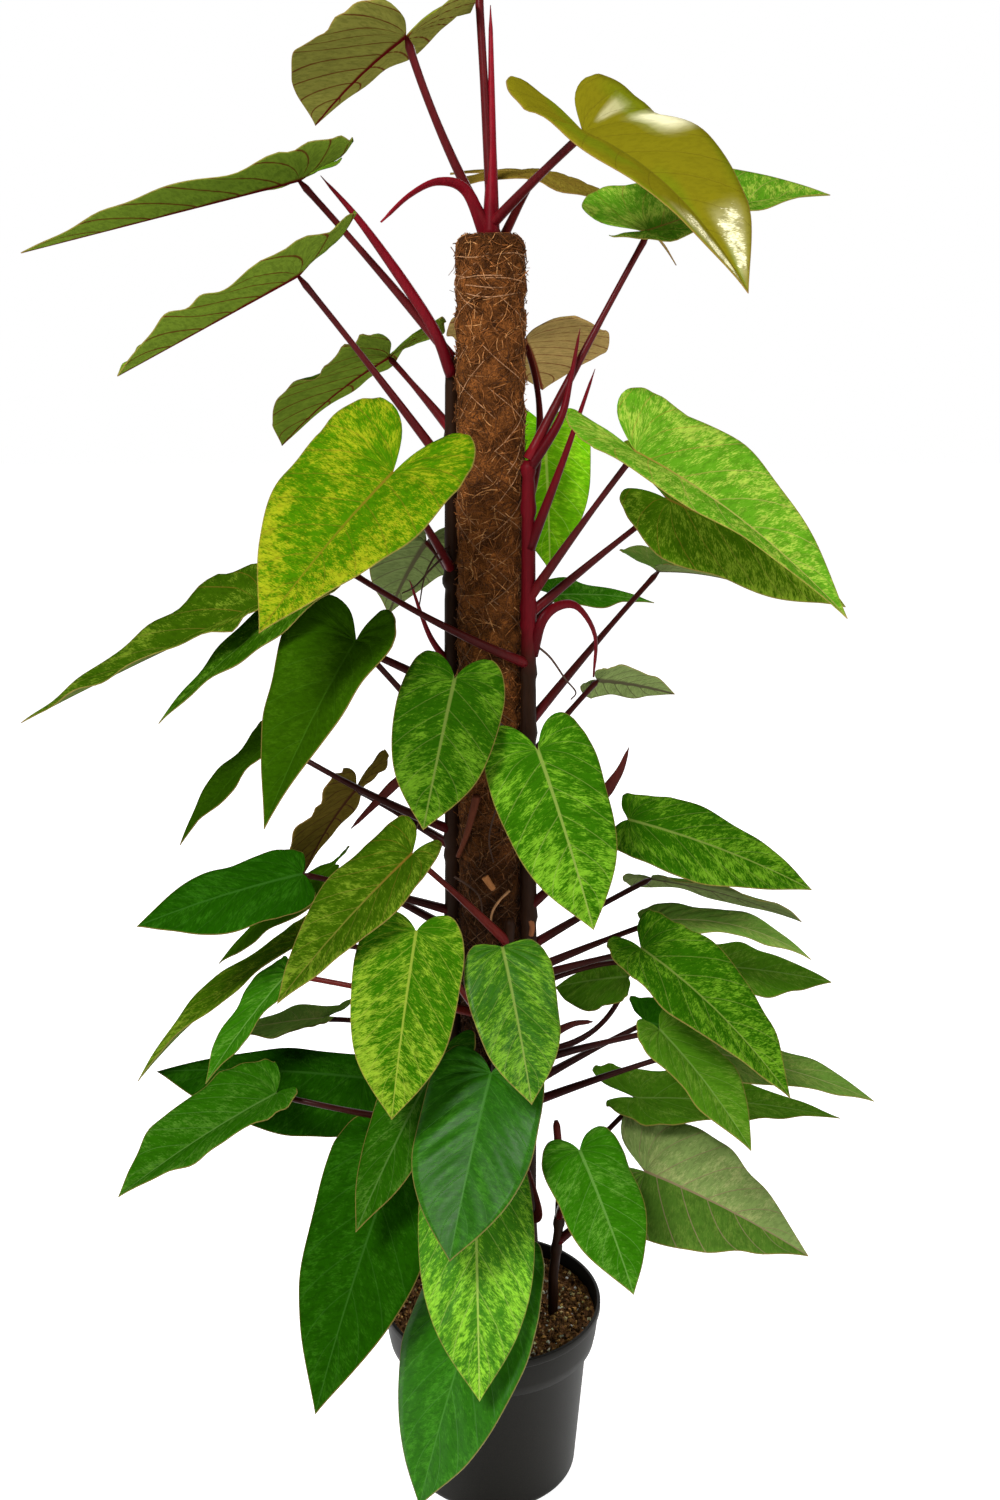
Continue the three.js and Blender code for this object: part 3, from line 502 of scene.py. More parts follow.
def stem_point(name, height):
    foot, head, top, radius, reach = STEMS[name]
    z = max(height, STRAIGHT_TOP)
    share = min(max((z - STRAIGHT_TOP) / (top - STRAIGHT_TOP), 0), 1)
    turn = math.radians(foot + (head - foot) * share)
    if reach:
        away = reach + 6 * math.sin(share * 3)
    else:
        spread = STEM_SPREAD * min(max((300 - z) / 120, 0), 1)
        away = SLEEVE_RADIUS + STEM_CLEARANCE + radius + spread
    return around(away, turn, height)


def blade_frame(base, tip, roll):
    along = tip - base
    length = np.linalg.norm(along)
    along = along / length
    level = unit(np.array([0, 0, 1.0]) - along * along[2])
    side = np.cross(along, level)
    turn = math.radians(roll)
    up = level * math.cos(turn) + side * math.sin(turn)
    return along, up, np.cross(along, up), length


# Leaves with a look of their own, besides their kind; leaf 3's sheen and leaf 32's shaded and sheened
# halves are painted light
CREAM_AND_SHEEN_LEAF = 3
PALE_LOBED = 4
SHADED_AND_SHEENED_LEAF = 32
GLOSSY = {34, 55, 56, 57}
FLECKED = {"lime", "marbled", "pale", "olive"}
WARM_VEINED = {"lime", "clear", "olive"}

# The grid of a blade, its thickness, its midrib below, its side veins and the places of its noise
LOBE_ROWS = 16
BLADE_ROWS = 30
COLUMNS = 12
HALF_SHEET = 0.4
RIB_HEIGHT = 1.5
RIB_SPREAD = 2.6
LOBE_VEINS = 3
BLADE_VEINS = 6
VEIN_GRAIN = 24
OTHER_SIDE_GRAIN = 400

# Height of the bulges between the side veins and of the margin's ruffles, where they aren't the usual
QUILTED = {1: 1.5, 7: 1.6, 8: 1.6, 9: 1.5, 10: 1.2, 32: 1.6, 40: 1.3, 55: 1.2}
USUAL_QUILT = 0.9
RUFFLED = {
    1: 1.8, 5: 1.5, 7: 2.4, 8: 3.2, 9: 3.2, 10: 1.2, 24: 1.6, 25: 2.2, 30: 2.2, 32: 3.2, 38: 4.0,
    39: 2.0, 40: 1.8, 43: 2.0, 53: 2.0,
}  # fmt: skip
USUAL_RUFFLE = 0.7


def paint_cream_and_sheen_leaf(colours, s, v, q, side):
    """Green on a yellow ground, with pale patches at the tip, along a lobe's margin and between two veins:
    partly the leaf's own cream, partly a painted sheen
    """
    ground = colours["ground"][..., :3]
    green_patch = np.sin(7 * s + 2.3 * side + 1.1 * v) * np.sin(5.5 * v + 3 * s + 0.4)
    green = linear("58700c") - ground
    ground += green * (0.45 * smooth(0.1, 0.8, green_patch))[..., None]
    # The pale patches below are partly the leaf's own cream and partly a painted sheen
    tip_patch = smooth(0.6, 0.72, s) * smooth(1.0, 0.88, s) * smooth(0.15, 0.4, v)
    tip_patch = tip_patch * smooth(0.95, 0.7, v)
    colours["fleck"][..., 3] += 1.35 * tip_patch
    margin_patch = smooth(0.5, 0.8, v) * smooth(-0.03, 0.03, s) * smooth(0.24, 0.12, s) * (side < 0)
    vein_patch = smooth(0.2, 0.35, v) * smooth(0.85, 0.6, v) * smooth(0.16, 0.06, np.abs(q - 0.62))
    patches = 0.8 * margin_patch + 0.3 * vein_patch * (side < 0) + 0.2 * tip_patch
    cream_and_sheen = colours["fleck"][..., :3] - ground
    ground += cream_and_sheen * patches[..., None]


def blade_colours(number, s, v, q, side):
    """Colours over the upper face and the one colour of the lower face.

    s runs along the blade, v from the midrib to the margin, q from the lobes to the tip, and side is
    -1 or 1."""
    ground, fleck, amount, line, strength, below, line_below = KINDS[LOOKS[number]]
    bright = SHADES.get(number, 0.9 + 0.2 * ((number * 0.618) % 1))
    top = {
        "ground": with_alpha(linear(ground) * bright, 1.2),
        "fleck": with_alpha(linear(fleck) * bright, amount),
        "line": with_alpha(linear(line) * bright, strength),
    }
    top = {key: np.broadcast_to(value, (*s.shape, 4)).copy() for key, value in top.items()}
    if LOOKS[number] in WARM_VEINED:
        warm = (smooth(0.45, 0.0, s) + 0 * v)[..., None]
        orange = linear("8a4c20") - top["line"][..., :3]
        top["line"][..., :3] += orange * warm * 0.8
    # More pale flecks towards the tip and the margin, fewer near the base: partly the leaves' own yellower
    # tips and margins, partly painted light towards the tip and painted shade near the base
    if LOOKS[number] in FLECKED:
        top["fleck"][..., 3] += 0.35 * (smooth(0.2, 1.0, s) + 0.5 * v - 0.65)
    light = 1
    if number == PALE_LOBED:
        light = (1 + 0.7 * smooth(0.3, 0.0, s) * (side < 0) * smooth(0.1, 0.3, v))[..., None]
    # Leaf 32 is folded: painted shade darkens its near half, and a painted grey sheen lightens the other
    # half
    if number == SHADED_AND_SHEENED_LEAF:
        light = np.where(side[..., None] > 0, (0.4, 0.58, 0.22), (1.14, 1.04, 1.08))
    for key in ("ground", "fleck"):
        top[key][..., :3] *= light
    if number == CREAM_AND_SHEEN_LEAF:
        paint_cream_and_sheen_leaf(top, s, v, q, side)
    bright_below = min(SHADES.get(number, 1), BRIGHTEST_BELOW)
    low = {
        "ground": with_alpha(linear(below) * bright_below, 2.2),
        "fleck": with_alpha(linear(below) * bright_below * 1.25, 0.3),
        "line": with_alpha(linear(line_below), 1),
    }
    return top, low


def blade_shape(row):
    """A blade as a closed thin sheet. Each row of its grid runs along a side vein."""
    number, _, _, base, tip, width, roll, fold, arch, lobe, wide, full = row[:12]
    base, tip = np.array(base, float), np.array(tip, float)
    along, up, right, length = blade_frame(base, tip, roll)

    # The outline, as in the part
    lobes = np.linspace(0, 1, LOBE_ROWS, endpoint=False)
    rest = np.linspace(0, 1, BLADE_ROWS) ** 0.9
    turn = lobes * math.pi / 2
    share = np.concatenate([np.zeros(LOBE_ROWS), rest])
    q = np.concatenate([lobes, 1 + rest])[:, None]
    start = (share**1.1 * (0.97 + 0.03 * share**12))[:, None]
    end = np.concatenate([wide - (wide + lobe) * np.cos(turn), wide + rest * (1 - wide)])[:, None]
    tapered = (1 - rest**full) * (1 - 0.3 * rest**6)
    across = np.concatenate([0.58 + 0.42 * np.sin(turn), tapered])[:, None]
    column = np.linspace(-1, 1, 2 * COLUMNS + 1)[None, :]
    side = np.sign(column)
    v = np.abs(column) ** 1.5
    s = start + (end - start) * v
    w = across * v
    bend = 2 * v * (1 - v)
    curved = np.clip(1 - 3 * q, 0, 1)
    s = s + curved * (end * (bend + v * v) - end * v)
    w = w + curved * (bend * 0.2 + v * v * across - across * v)
    reach = w * width / 2

    # Waves, the margin's ruffles and the bulges between the side veins
    phase = number * 0.618 + np.where(side > 0, 0.3, 0)
    wave = 3.5 * np.sin(2 * math.pi * (1.7 * s + phase)) * w**2
    ruffle = RUFFLED.get(number, USUAL_RUFFLE)
    ripple = ruffle * (0.6 + 0.4 * np.sin(2 * math.pi * (1.3 * q + phase * 2.3)))
    ripple = ripple * np.sin(2 * math.pi * (3.1 * q + phase * 3.7)) * v**3
    wave = wave + ripple * np.clip((2 - q) * 3, 0, 1)
    count = np.where(q < 1, LOBE_VEINS * q, LOBE_VEINS + BLADE_VEINS * (q - 1))
    vein = count - 0.75 * v - 0.35 * v**2
    between = np.clip(4 * v * (1 - v), 0, 1) * np.clip((2 - q) * 2, 0, 1)
    quilt = QUILTED.get(number, USUAL_QUILT) * np.cos(2 * math.pi * vein) * between

    arched = (s > 0) | (arch > 0.09)
    arching = np.where(arched, arch * 4 * s * (1 - s), -s * 0.08)
    tilt = np.radians(fold - 8 * w)
    lift = arching * length + reach * np.sin(tilt) + wave + quilt
    middle = (
        base
        + (s * length)[..., None] * along
        + (side * reach * np.cos(tilt))[..., None] * right
        + lift[..., None] * up
    )
    slope = np.where(arched, arch * 4 * (1 - 2 * s), -0.08)
    normal = (
        np.cos(tilt)[..., None] * up
        - (side * np.sin(tilt))[..., None] * right
        - (slope * np.cos(tilt))[..., None] * along
    )
    normal /= np.linalg.norm(normal, axis=2, keepdims=True)
    rib = np.exp(-((reach / RIB_SPREAD) ** 2)) * np.clip(1.1 - s, 0, 1)
    upper = middle + normal * HALF_SHEET
    lower = middle - normal * (HALF_SHEET + RIB_HEIGHT * rib)[..., None]

    vein_length = np.hypot((end - start) * length, across * width / 2)
    from_midrib = reach / (2.4 * (1 - 0.8 * np.clip(s, 0, 1)) + 0.5)
    fields = np.stack([vein, from_midrib, (1 - v) * vein_length], axis=2).reshape(-1, 3)
    spread = count * VEIN_GRAIN * side + OTHER_SIDE_GRAIN * (side > 0)
    grain = np.stack([spread, v * vein_length, 0 * s + number * 7.3], axis=2).reshape(-1, 3)
    top, low = blade_colours(number, s, v, q, side)
    rows, columns = s.shape
    faces = grid_faces(rows, columns)
    shape = Shape()
    shape.add(
        np.concatenate([upper.reshape(-1, 3), lower.reshape(-1, 3)]),
        list(faces) + list(faces[:, ::-1] + rows * columns) + rim_faces(rows, columns),
        vein=np.concatenate([fields, fields * (1, 0.55, 1)]),
        grain=np.concatenate([grain, grain]),
        **{
            key: np.concatenate([top[key].reshape(-1, 4), np.tile(low[key], (rows * columns, 1))])
            for key in top
        },
    )
    return shape


def rim_faces(rows, columns):
    """Quads that close the margin between the upper and the lower grid"""
    index = np.arange(rows * columns).reshape(rows, columns)
    loop = np.concatenate([index[0, :-1], index[:-1, -1], index[-1, :0:-1], index[:0:-1, 0]])
    after = np.roll(loop, -1)
    low = rows * columns
    return [[b, a, a + low, b + low] for a, b in zip(loop, after)]


def make_blades():
    for row in LEAVES:
        number = row[0]
        node = f"blade_{number:02d}"
        look = GLOSSY_LEAF if number in GLOSSY else LEAF
        piece = blade_shape(row).build(f"leaf_blade_{number:02d}", look)
        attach(piece, "root")
        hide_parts(node)


CRIMSON = linear("700c18")
MAROON = linear("440e10")
BLACKISH = linear("260b08")
BARK = linear("2e1a0e")
RUSSET = linear("501610")
OLD_SHEATH = linear("54201a")

STALK_FOOT_RADIUS = 4.9
STALK_RADIUS = 2.7
STALK_TIP_RADIUS = 1.4
STALK_STEPS = 22
SHOOT_STEPS = 26
ROOT_STEPS = 30
ROUND_SIDES = 12
STEM_SIDES = 16


def stalk_parts(shape, row):
    """A leaf's stalk, wider where it clasps the stem and swollen a little under the blade"""
    _, stem, joint, base, tip, _, roll = row[:7]
    sway = np.array(row[12], float) if len(row) > 12 else np.zeros(3)
    base = np.array(base, float)
    _, up, _, _ = blade_frame(base, np.array(tip, float), roll)
    start = stem_point(stem, joint)
    bow = 0.02 * np.linalg.norm(base - start)
    middle = (start + base) / 2 + np.array([0, 0, bow]) + sway
    end = base - up * 0.6
    t = np.linspace(0, 1, STALK_STEPS)[:, None]
    path = (1 - t) ** 2 * start + 2 * t * (1 - t) * middle + t**2 * end
    t = t[:, 0]
    slim = STALK_RADIUS + 0.8 * smooth(1100, 1200, joint)
    radius = STALK_FOOT_RADIUS + (slim - STALK_FOOT_RADIUS) * np.minimum(1, 1.6 * t)
    radius = radius + 0.35 * np.exp(-(((t - 0.95) / 0.03) ** 2))
    radius[-1] = STALK_TIP_RADIUS
    points, faces = tube(path, radius, ROUND_SIDES)
    young = smooth(650, 1150, joint)
    body = RUSSET if stem == "front" else BLACKISH + (MAROON - BLACKISH) * young
    tint = np.repeat(body[None, :], len(points), 0)
    near = np.repeat(np.exp(-((t / 0.12) ** 2)), ROUND_SIDES)[:, None]
    tint = tint + (CRIMSON * (0.35 + 0.65 * young) - tint) * near * 0.6
    shape.add(points, faces, skin=with_alpha(tint, 0.33))


def shoot_parts(shape, shoot):
    """A rolled leaf or a sheath, darker towards its foot, and red where it's young"""
    _, path, wide, thin = shoot
    places = curve_points(path, SHOOT_STEPS)
    at = np.linspace(0, 1, SHOOT_STEPS)
    wide_at = np.interp(at, [0, 0.5, 1], wide) * np.clip((1 - at) * 9 + 0.25, 0, 1)
    thin_at = np.interp(at, [0, 0.5, 1], thin or wide)
    points, faces = tube(places, wide_at, ROUND_SIDES, thin_at)
    foot_x, _, foot_z = path[0]
    tint = CRIMSON * 0.9 if foot_z > 800 else OLD_SHEATH
    if abs(foot_x) > 33:
        tint = tint * (0.7 if foot_x < 0 else 0.5)
    dark = 0.55 + 0.45 * smooth(0.0, 0.5, np.repeat(at, ROUND_SIDES))[:, None]
    shape.add(points, faces, skin=with_alpha(tint * dark, 0.36))


def stem_parts(shape, name):
    """The stem itself, with a swollen ring at each joint"""
    top, radius = STEMS[name][2], STEMS[name][3]
    heights = np.arange(STEM_FOOT, top + 1, 5.0)
    path = np.array([stem_point(name, z) for z in heights])
    share = np.clip((heights - STEM_FOOT) / (top - STEM_FOOT), 0, 1)
    width = radius * (1 - 0.3 * share**3)
    for row in LEAVES:
        if row[1] == name:
            width = width + 1.3 * np.exp(-(((heights - row[2] + 8) / 6) ** 2))
            width = width - 0.8 * np.exp(-(((heights - row[2] + 16) / 3) ** 2))
    width[-1] *= 0.6
    points, faces = tube(path, width, STEM_SIDES)
    # Higher up the stems turn maroon. The left one stays dark bark all the way: painted shade, as it runs
    # in the shadow along the pole's left edge
    young = smooth(900, 1250, heights)[:, None] * (name != "left")
    tint = BARK * 0.5 + (MAROON - BARK * 0.5) * young
    if name == "right":
        red = smooth(850, 900, heights)[:, None]
        tint = tint + (CRIMSON * 0.45 - tint) * red
    if name == "side":
        tint = tint + (RUSSET * 0.7 - tint) * smooth(280, 330, heights)[:, None]
    shape.add(points, faces, skin=with_alpha(np.repeat(tint, STEM_SIDES, 0), 0.5))


def make_stems():
    for name in STEMS:
        shape = Shape()
        stem_parts(shape, name)
        for row in LEAVES:
            if row[1] == name:
                stalk_parts(shape, row)
        for shoot in SHOOTS:
            if shoot[0] == name:
                shoot_parts(shape, shoot)
        piece = shape.build(f"leafy_stem_{name}", SKIN)
        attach(piece, "root")
        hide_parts(f"stem_{name}")


# Coir pole

NET_PITCH = 2 * BINDING_PITCH
NET_STRANDS = 6
HEAD_TURNS = (1209, 1195, 1192, 1188, 1181)
# The sleeve's rounded top: how far it's drawn in, and its height over the last straight row
SLEEVE_TOP = ((0.7, 3.4), (2.2, 6.8), (4.6, 9.6), (8.5, 11.4), (13, 12), (20, 11.6), (28.6, 11))
FIBRES = 5600
FIBRE_STEPS = 6


def sleeve_radius(turn, z):
    climb = z / BINDING_PITCH * 2 * math.pi
    clear = np.clip((z - SOIL_TOP - 10) / 40, 0, 1)
    broad = np.sin(climb + turn) * np.sin(climb - turn)
    climb = z / NET_PITCH * 2 * math.pi
    net = np.abs(np.sin(3 * (turn + climb)) * np.sin(3 * (turn - climb)))
    return SLEEVE_RADIUS + (broad + 1.8 * np.sqrt(net) - 1.3) * clear


def coir_tone(z, light=1.0):
    """Light brown at the head and dark brown further down: partly dry and damp coir, partly painted shade
    under the leaves
    """
    dry_and_lit = smooth(560, 860, z)
    damp_and_shaded = linear("3a210f")
    tint = damp_and_shaded + (linear("74441e") - damp_and_shaded) * dry_and_lit[..., None]
    return tint * light


def make_sleeve():
    rows, sides = 460, 112
    z = np.linspace(SLEEVE_FOOT, POLE_TOP - 2 * SLEEVE_SHOULDER, rows)[:, None]
    turn = all_round(sides)
    radius = sleeve_radius(turn, z)
    rough = np.sin(turn * 11 + z * 0.31) * np.sin(z * 0.23 - turn * 7) + np.sin(turn * 5 - z * 0.11)
    radius = radius + 0.35 * rough
    layers = [(radius, z + 0 * turn)]
    for shrink, rise in SLEEVE_TOP:
        layers.append((radius[-1:] - shrink, z[-1:] + rise + 0 * turn))
    radius = np.concatenate([layer[0] for layer in layers])
    height = np.concatenate([layer[1] for layer in layers])
    points = around(radius, turn, height).reshape(-1, 3)
    shape = Shape()
    # Painted shade: the coir is darker wherever the sleeve is drawn in, in the hollows under the net and
    # between the bulges, and so also over the rounded head
    deep = np.hypot(points[:, 0], points[:, 1]) - SLEEVE_RADIUS
    light = (0.4 + 0.45 * smooth(-1.6, 0.6, deep))[:, None]
    tone = coir_tone(points[:, 2]) * light
    shape.add(points, tube_faces(len(radius), sides), tone=with_alpha(tone))
    piece = shape.build("coir_pole", COIR)
    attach(piece, "root")
    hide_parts("coir_sleeve")


def on_sleeve(turn, z, off):
    """Places at a distance from the sleeve, which follow its rounded top"""
    over = np.clip((z - POLE_TOP) / (2 * SLEEVE_SHOULDER) + 1, 0, 0.98)
    rounding = 2 * SLEEVE_SHOULDER * (1 - np.sqrt(1 - over**2))
    return around(sleeve_radius(turn, z) + off - rounding, turn, z)


def make_twine():
    """Pale strands that bind the sleeve in a crossing net, and a few turns round its head"""
    shape = Shape()
    straw = linear("b0805a")
    low, high = SOIL_TOP + 6, POLE_TOP - 14
    for direction in (1, -1):
        for start in range(NET_STRANDS):
            z = np.linspace(low, high, 300)
            drift = 0.25 * np.sin(z / 41 + start * 2.1) + 0.16 * np.sin(z / 15 + start * 1.3 + direction)
            first = start * 2 * math.pi / NET_STRANDS
            turn = direction * z / NET_PITCH * 2 * math.pi + first + drift
            off = -0.3 + 0.8 * np.sin(z / 17 + start * 1.7 + direction)
            points, faces = tube(on_sleeve(turn, z, off), 0.45, 4)
            # Darker further down the pole, as the coir: partly damp and partly painted shade under the
            # leaves
            shade_down_pole = 0.3 + 0.5 * smooth(820, 1080, points[:, 2])
            shape.add(points, faces, tone=with_alpha(straw * shade_down_pole[:, None]))
    for height in HEAD_TURNS:
        turn = np.linspace(0, 2 * math.pi, 61)
        z = height + 2.5 * np.sin(turn + height) + 1.2 * np.sin(3 * turn + height * 0.7)
        points, faces = tube(on_sleeve(turn, z, 0.3 + 0.8 * np.sin(3 * turn + height)), 0.5, 4)
        shape.add(points, faces, tone=with_alpha(straw * 0.9))
    piece = shape.build("binding_twine", FIBRE)
    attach(piece, "root")


def make_fibres():
    """Loose coir fibres over the sleeve"""
    shape = Shape()
    straw = linear("c08c58")
    start_turn = rng.uniform(0, 2 * math.pi, FIBRES)
    start_z = rng.uniform(SOIL_TOP + 8, POLE_TOP, FIBRES)
    lean = rng.uniform(0, 2 * math.pi, FIBRES)
    curl = rng.normal(0, 0.9, FIBRES)
    span = rng.uniform(10, 34, FIBRES)
    lift = rng.exponential(1.0, FIBRES)
    light = 0.3 + 0.85 * rng.exponential(1.0, FIBRES)
    for i in range(FIBRES):
        t = np.linspace(-0.5, 0.5, FIBRE_STEPS)
        angle = lean[i] + curl[i] * t
        forward = np.cumsum(np.cos(angle)) / FIBRE_STEPS * span[i]
        climb = np.cumsum(np.sin(angle)) / FIBRE_STEPS * span[i]
        turn = start_turn[i] + forward / SLEEVE_RADIUS
        z = np.clip(start_z[i] + climb, SOIL_TOP + 5, POLE_TOP + 0.5)
        off = 0.2 + lift[i] * (4 * t * t)
        points, faces = tube(on_sleeve(turn, z, off), np.linspace(0.5, 0.25, FIBRE_STEPS), 3)
        # Darker further down the pole, as the coir: partly damp and partly painted shade under the leaves
        pale = straw * (0.35 + 0.65 * smooth(700, 1000, points[:, 2]))[:, None]
        brown = coir_tone(points[:, 2]) * min(light[i], 2.2)
        colour = brown + (pale - brown) * min(max(light[i] - 1.6, 0), 1) * 0.8
        shape.add(points, faces, tone=with_alpha(colour))
    piece = shape.build("coir_fibres", FIBRE)
    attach(piece, "root")


# Peat and pot

CRUMBS = 2600
# Colours of the peat's crumbs, and how common each is
CRUMB_COLOURS = {"4a3320": 0.4, "6e4e2e": 0.24, "a87c48": 0.22, "cfae7c": 0.08, "dcd4c4": 0.06}
# An eight-sided ball, which each crumb is stretched and turned from
BALL = np.array([(1, 0, 0), (0, 1, 0), (-1, 0, 0), (0, -1, 0), (0, 0, 1), (0, 0, -1)], float)
BALL_FACES = [(0, 1, 4), (1, 2, 4), (2, 3, 4), (3, 0, 4), (1, 0, 5), (2, 1, 5), (3, 2, 5), (0, 3, 5)]


def soil_height(radius, turn):
    return SOIL_TOP + np.sin(3 * turn + radius / 9) + np.sin(5 * turn - radius / 7)


def cavity_profile(clearance):
    """The inside of the pot from the edge of its floor up to the collar, drawn in by a clearance"""
    ledge = POT_HEIGHT - COLLAR_HEIGHT
    inset = POT_WALL + clearance
    return [
        (BODY_FOOT_RADIUS - FOOT_ROUNDING, POT_FLOOR + clearance),
        (BODY_FOOT_RADIUS - inset, FOOT_ROUNDING + clearance),
        (BODY_TOP_RADIUS - inset, ledge + POT_WALL),
        (COLLAR_FOOT_RADIUS - inset, ledge + POT_WALL + 1.5),
        (COLLAR_FOOT_RADIUS + 2 - inset, ledge + 14),
    ]


def make_soil():
    shape = Shape()
    rings, sides = 46, 150
    edge = COLLAR_FOOT_RADIUS + 2.8 - POT_WALL - 0.3
    radius = np.linspace(edge, SLEEVE_RADIUS + 0.8, rings)[:, None]
    turn = all_round(sides)
    lumps = rng.normal(0, 1.1, (rings, sides))
    grid = around(radius, turn, soil_height(radius, turn) + lumps)
    layers = [around(away, turn, height) for away, height in cavity_profile(0.3)]
    wall = grid[-1:].copy()
    wall[..., 2] = SLEEVE_FOOT
    layers = np.concatenate([*layers, grid, wall])
    faces = tube_faces(len(layers), sides)
    shape.add(layers.reshape(-1, 3), faces, tone=with_alpha(linear("845c3a")))
    colours = [linear(name) for name in CRUMB_COLOURS]
    chances = list(CRUMB_COLOURS.values())
    for _ in range(CRUMBS):
        away = math.sqrt(rng.uniform((SLEEVE_RADIUS + 3) ** 2, (edge - 2) ** 2))
        spot = rng.uniform(0, 2 * math.pi)
        size = rng.uniform(0.8, 2.6, 3) * (0.6 + 0.8 * rng.random())
        yaw, roll = rng.uniform(0, math.pi, 2)
        c, s = math.cos(yaw), math.sin(yaw)
        turned = BALL * size @ np.array([[c, s, 0], [-s, c, 0], [0, 0, 1]])
        c, s = math.cos(roll), math.sin(roll)
        turned = turned @ np.array([[1, 0, 0], [0, c, s], [0, -s, c]])
        kind = rng.choice(len(colours), p=chances)
        place = around(away, spot, soil_height(away, spot) + 1.0)
        tint = np.minimum(colours[kind] * rng.uniform(0.5, 2.9), 0.9)
        shape.add(turned + place, BALL_FACES, tone=with_alpha(tint))
    piece = shape.build("peat", PEAT, smooth_faces=False)
    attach(piece, "root")
    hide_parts("soil")


def pot_profile():
    """The pot's wall as radius and height, up its outside and down its inside"""
    ledge = POT_HEIGHT - COLLAR_HEIGHT
    outside = []
    for turn in np.linspace(0, math.pi / 2, 9):
        away = BODY_FOOT_RADIUS - FOOT_ROUNDING * (1 - math.sin(turn))
        outside.append((away, FOOT_ROUNDING * (1 - math.cos(turn))))
    outside += [
        (BODY_TOP_RADIUS - 0.1, ledge - 1),
        (BODY_TOP_RADIUS + 0.2, ledge),
        (COLLAR_FOOT_RADIUS - 0.6, ledge + 0.9),
        (COLLAR_FOOT_RADIUS, ledge + 1.6),
        (COLLAR_FOOT_RADIUS + 2, ledge + 12),
        (RIM_RADIUS - 1.5, POT_HEIGHT - 9),
        (RIM_RADIUS - 0.3, POT_HEIGHT - 7.6),
        (RIM_RADIUS, POT_HEIGHT - 7),
        (RIM_RADIUS, POT_HEIGHT - 1.2),
        (RIM_RADIUS - 0.3, POT_HEIGHT - 0.3),
        (RIM_RADIUS - 1, POT_HEIGHT),
    ]
    inside = [
        (RIM_RADIUS - POT_WALL - 1, POT_HEIGHT),
        (RIM_RADIUS - POT_WALL - 1.5, POT_HEIGHT - 1),
        *cavity_profile(0)[::-1],
    ]
    return np.array(outside + inside)


def make_pot():
    profile = pot_profile()
    sides = 144
    points = around(profile[:, :1], all_round(sides), profile[:, 1:]).reshape(-1, 3)
    shape = Shape()
    shape.add(points, tube_faces(len(profile), sides), tone=with_alpha(linear("13110b")))
    pot = shape.build("nursery_pot", PLASTIC)
    for i in range(DRAIN_HOLES):
        angle = (i + 0.5) / DRAIN_HOLES * math.pi * 2
        away = DRAIN_CIRCLE_RADIUS * MM
        bpy.ops.mesh.primitive_cylinder_add(
            radius=DRAIN_RADIUS * MM,
            depth=0.02,
            vertices=24,
            location=(away * math.cos(angle), away * math.sin(angle), 0),
        )
        cutter = bpy.context.object
        cut = pot.modifiers.new("drain", "BOOLEAN")
        cut.operation = "DIFFERENCE"
        cut.object = cutter
        bpy.context.view_layer.objects.active = pot
        bpy.ops.object.modifier_apply(modifier="drain")
        bpy.data.objects.remove(cutter)
    work = bmesh.new()
    work.from_mesh(pot.data)
    for edge in work.edges:
        edge.smooth = edge.calc_face_angle(0) < math.radians(34)
    work.to_mesh(pot.data)
    work.free()
    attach(pot, "root")
    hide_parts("pot")


def make_roots():
    """Aerial roots from the stems, and what is left of old stalks in front of the pole"""
    shape = Shape()
    root = ("3a2a22", 1.2, 0.6)
    lines = [
        (*root, [(-38, 10, 960), (-48, -8, 957), (-58, -22, 940), (-63, -26, 915)]),
        (*root, [(-38, 8, 955), (-50, -14, 948), (-66, -24, 932), (-78, -28, 926)]),
        (*root, [(36, -18, 880), (52, -24, 868), (66, -24, 848), (76, -18, 834), (72, -14, 826)]),
        (*root, [(-38, 8, 720), (-52, -14, 726), (-64, -22, 716), (-70, -26, 702)]),
        (*root, [(34, -22, 760), (20, -33, 752), (6, -34, 732), (-2, -33, 700), (2, -32, 676)]),
        (*root, [(-34, -14, 655), (-18, -30, 650), (-10, -33, 640), (-8, -32, 620)]),
        ("8a6444", 1.3, 0.9, [(17, -31, 648), (8, -34, 640), (1, -34, 628), (0, -34, 617), (4, -34, 606)]),
        ("8a5a34", 3.6, 2.6, [(-6, -32, 662), (-2, -33, 656), (2, -33, 650)]),
        ("4a2416", 4.0, 2.0, [(-13, -30, 740), (-18, -28, 718), (-24, -24, 696), (-31, -17, 676)]),
        ("6a4028", 3.2, 2.4, [(34, -22, 618), (38, -24, 610), (37, -24, 600)]),
    ]
    for colour, start, end, line in lines:
        path = curve_points(line, ROOT_STEPS)
        points, faces = tube(path, np.linspace(start, end, ROOT_STEPS), 7)
        shape.add(points, faces, skin=with_alpha(linear(colour), 0.7))
    piece = shape.build("aerial_roots", SKIN)
    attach(piece, "root")


def dress_stake():
    """The stake inside the sleeve stays the part's own solid, with a wooden look"""
    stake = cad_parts["pole_core"]
    tone = stake.data.attributes.new("tone", "FLOAT_COLOR", "POINT")
    tone.data.foreach_set("color", np.tile(with_alpha(linear("b08c5c")), len(stake.data.vertices)))
    stake.data.materials.clear()
    stake.data.materials.append(tone_material("stake_wood", 0.8, 200.0, 0.0004))


# Studio: a pale floor, soft lamps and a camera at the photograph's angle, in metres

CAMERA_PLACE = (0.008, -1.494, 1.228)
CAMERA_TILT = 73.1
LENS = 40.8
SENSOR = 36
LAMP_AIM = (0, 0, 0.75)
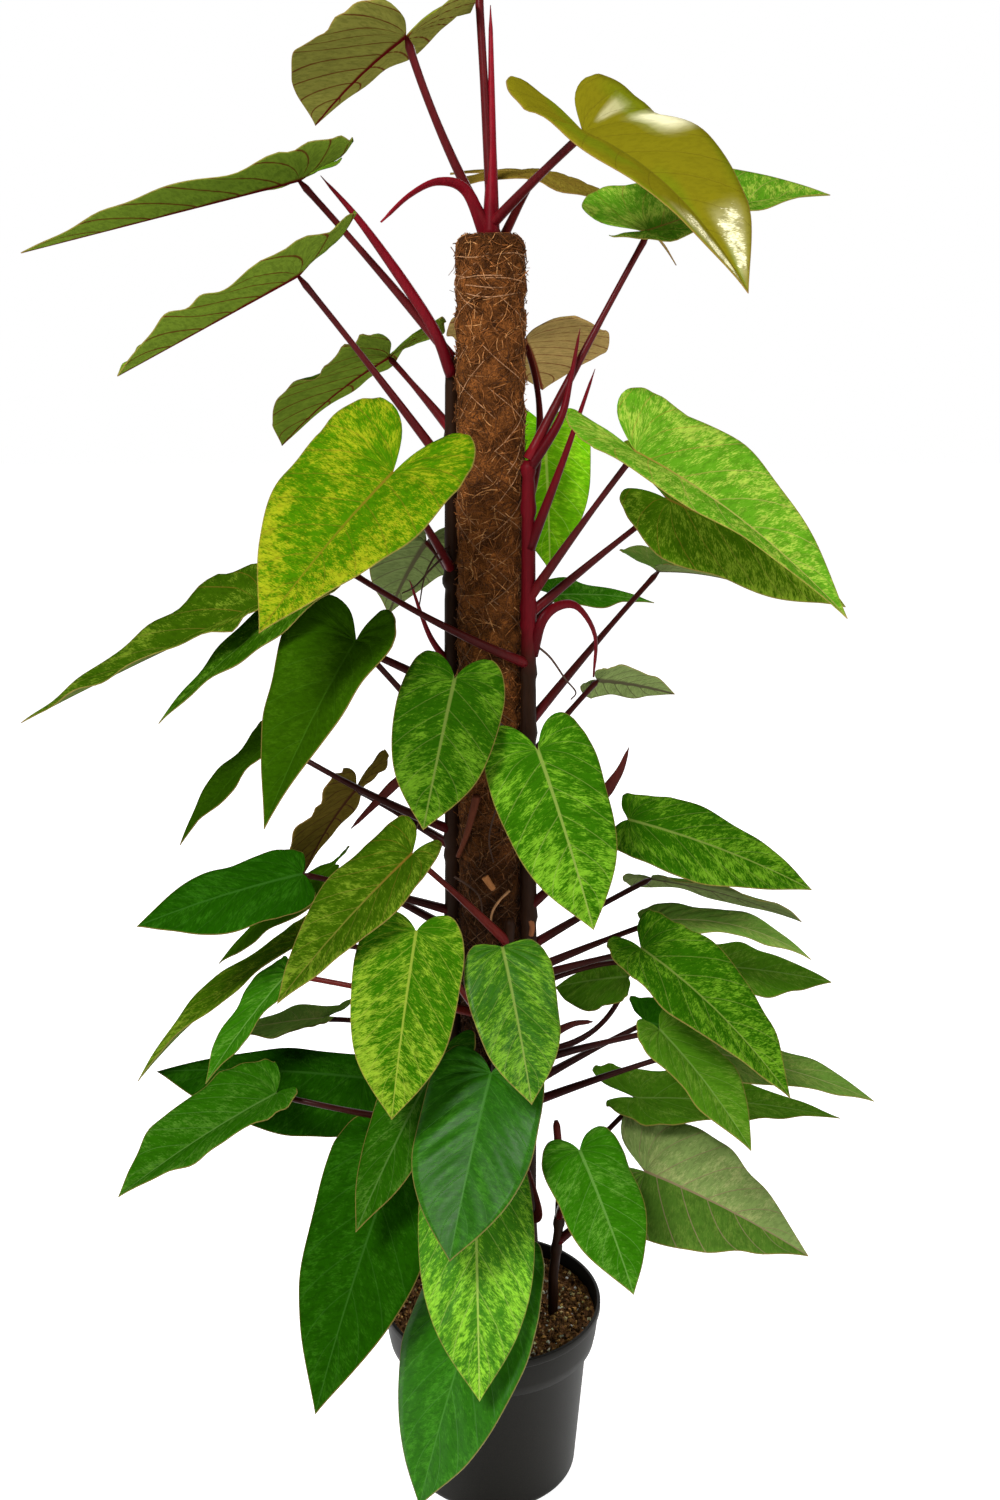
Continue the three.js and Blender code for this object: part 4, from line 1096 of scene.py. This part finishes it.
# Name, place, size and power
LAMPS = (
    ("key", (-0.9, -2.0, 2.8), 0.8, 105),
    ("fill", (1.9, -1.4, 1.6), 1.2, 18),
    ("back", (0.6, 2.0, 2.4), 1.6, 40),
)


def make_studio():
    bpy.ops.mesh.primitive_plane_add(size=16, location=(0, 0, 0))
    floor = bpy.context.object
    floor.name = "studio_floor"
    material, _, shader = new_material("pale_floor")
    shader.inputs["Base Color"].default_value = (0.8, 0.8, 0.8, 1)
    shader.inputs["Roughness"].default_value = 0.9
    shader.inputs["Emission Color"].default_value = (1, 1, 1, 1)
    shader.inputs["Emission Strength"].default_value = 0.88
    floor.data.materials.append(material)
    world = bpy.data.worlds.new("studio")
    world.use_nodes = True
    tree = world.node_tree
    tree.nodes["Background"].inputs["Color"].default_value = (1, 1, 1, 1)
    ahead = add_node(tree, "ShaderNodeTexCoord").outputs["Generated"]
    height = add_node(tree, "ShaderNodeSeparateXYZ", {0: ahead}).outputs[2]
    sky = ramped(tree, height, 0.15, 0.45, 1.0, 0.14)
    tree.links.new(sky, tree.nodes["Background"].inputs["Strength"])
    bpy.context.scene.world = world
    for name, place, size, power in LAMPS:
        data = bpy.data.lights.new(name, "AREA")
        data.size = size
        data.energy = power
        lamp = bpy.data.objects.new(name, data)
        lamp.location = place
        aim = np.array(LAMP_AIM) - np.array(place)
        yaw = math.atan2(aim[1], aim[0]) - math.pi / 2
        pitch = math.atan2(aim[2], math.hypot(aim[0], aim[1]))
        lamp.rotation_euler = (math.pi / 2 + pitch, 0, yaw)
        bpy.context.scene.collection.objects.link(lamp)
    data = bpy.data.cameras.new("camera")
    data.lens = LENS
    data.sensor_width = SENSOR
    camera = bpy.data.objects.new("camera", data)
    camera.location = CAMERA_PLACE
    camera.rotation_euler = (math.radians(CAMERA_TILT), 0, 0)
    bpy.context.scene.collection.objects.link(camera)
    bpy.context.scene.camera = camera
    bpy.context.scene.view_settings.view_transform = "Standard"


make_blades()
make_stems()
make_sleeve()
make_twine()
make_fibres()
make_soil()
make_pot()
make_roots()
dress_stake()
make_studio()
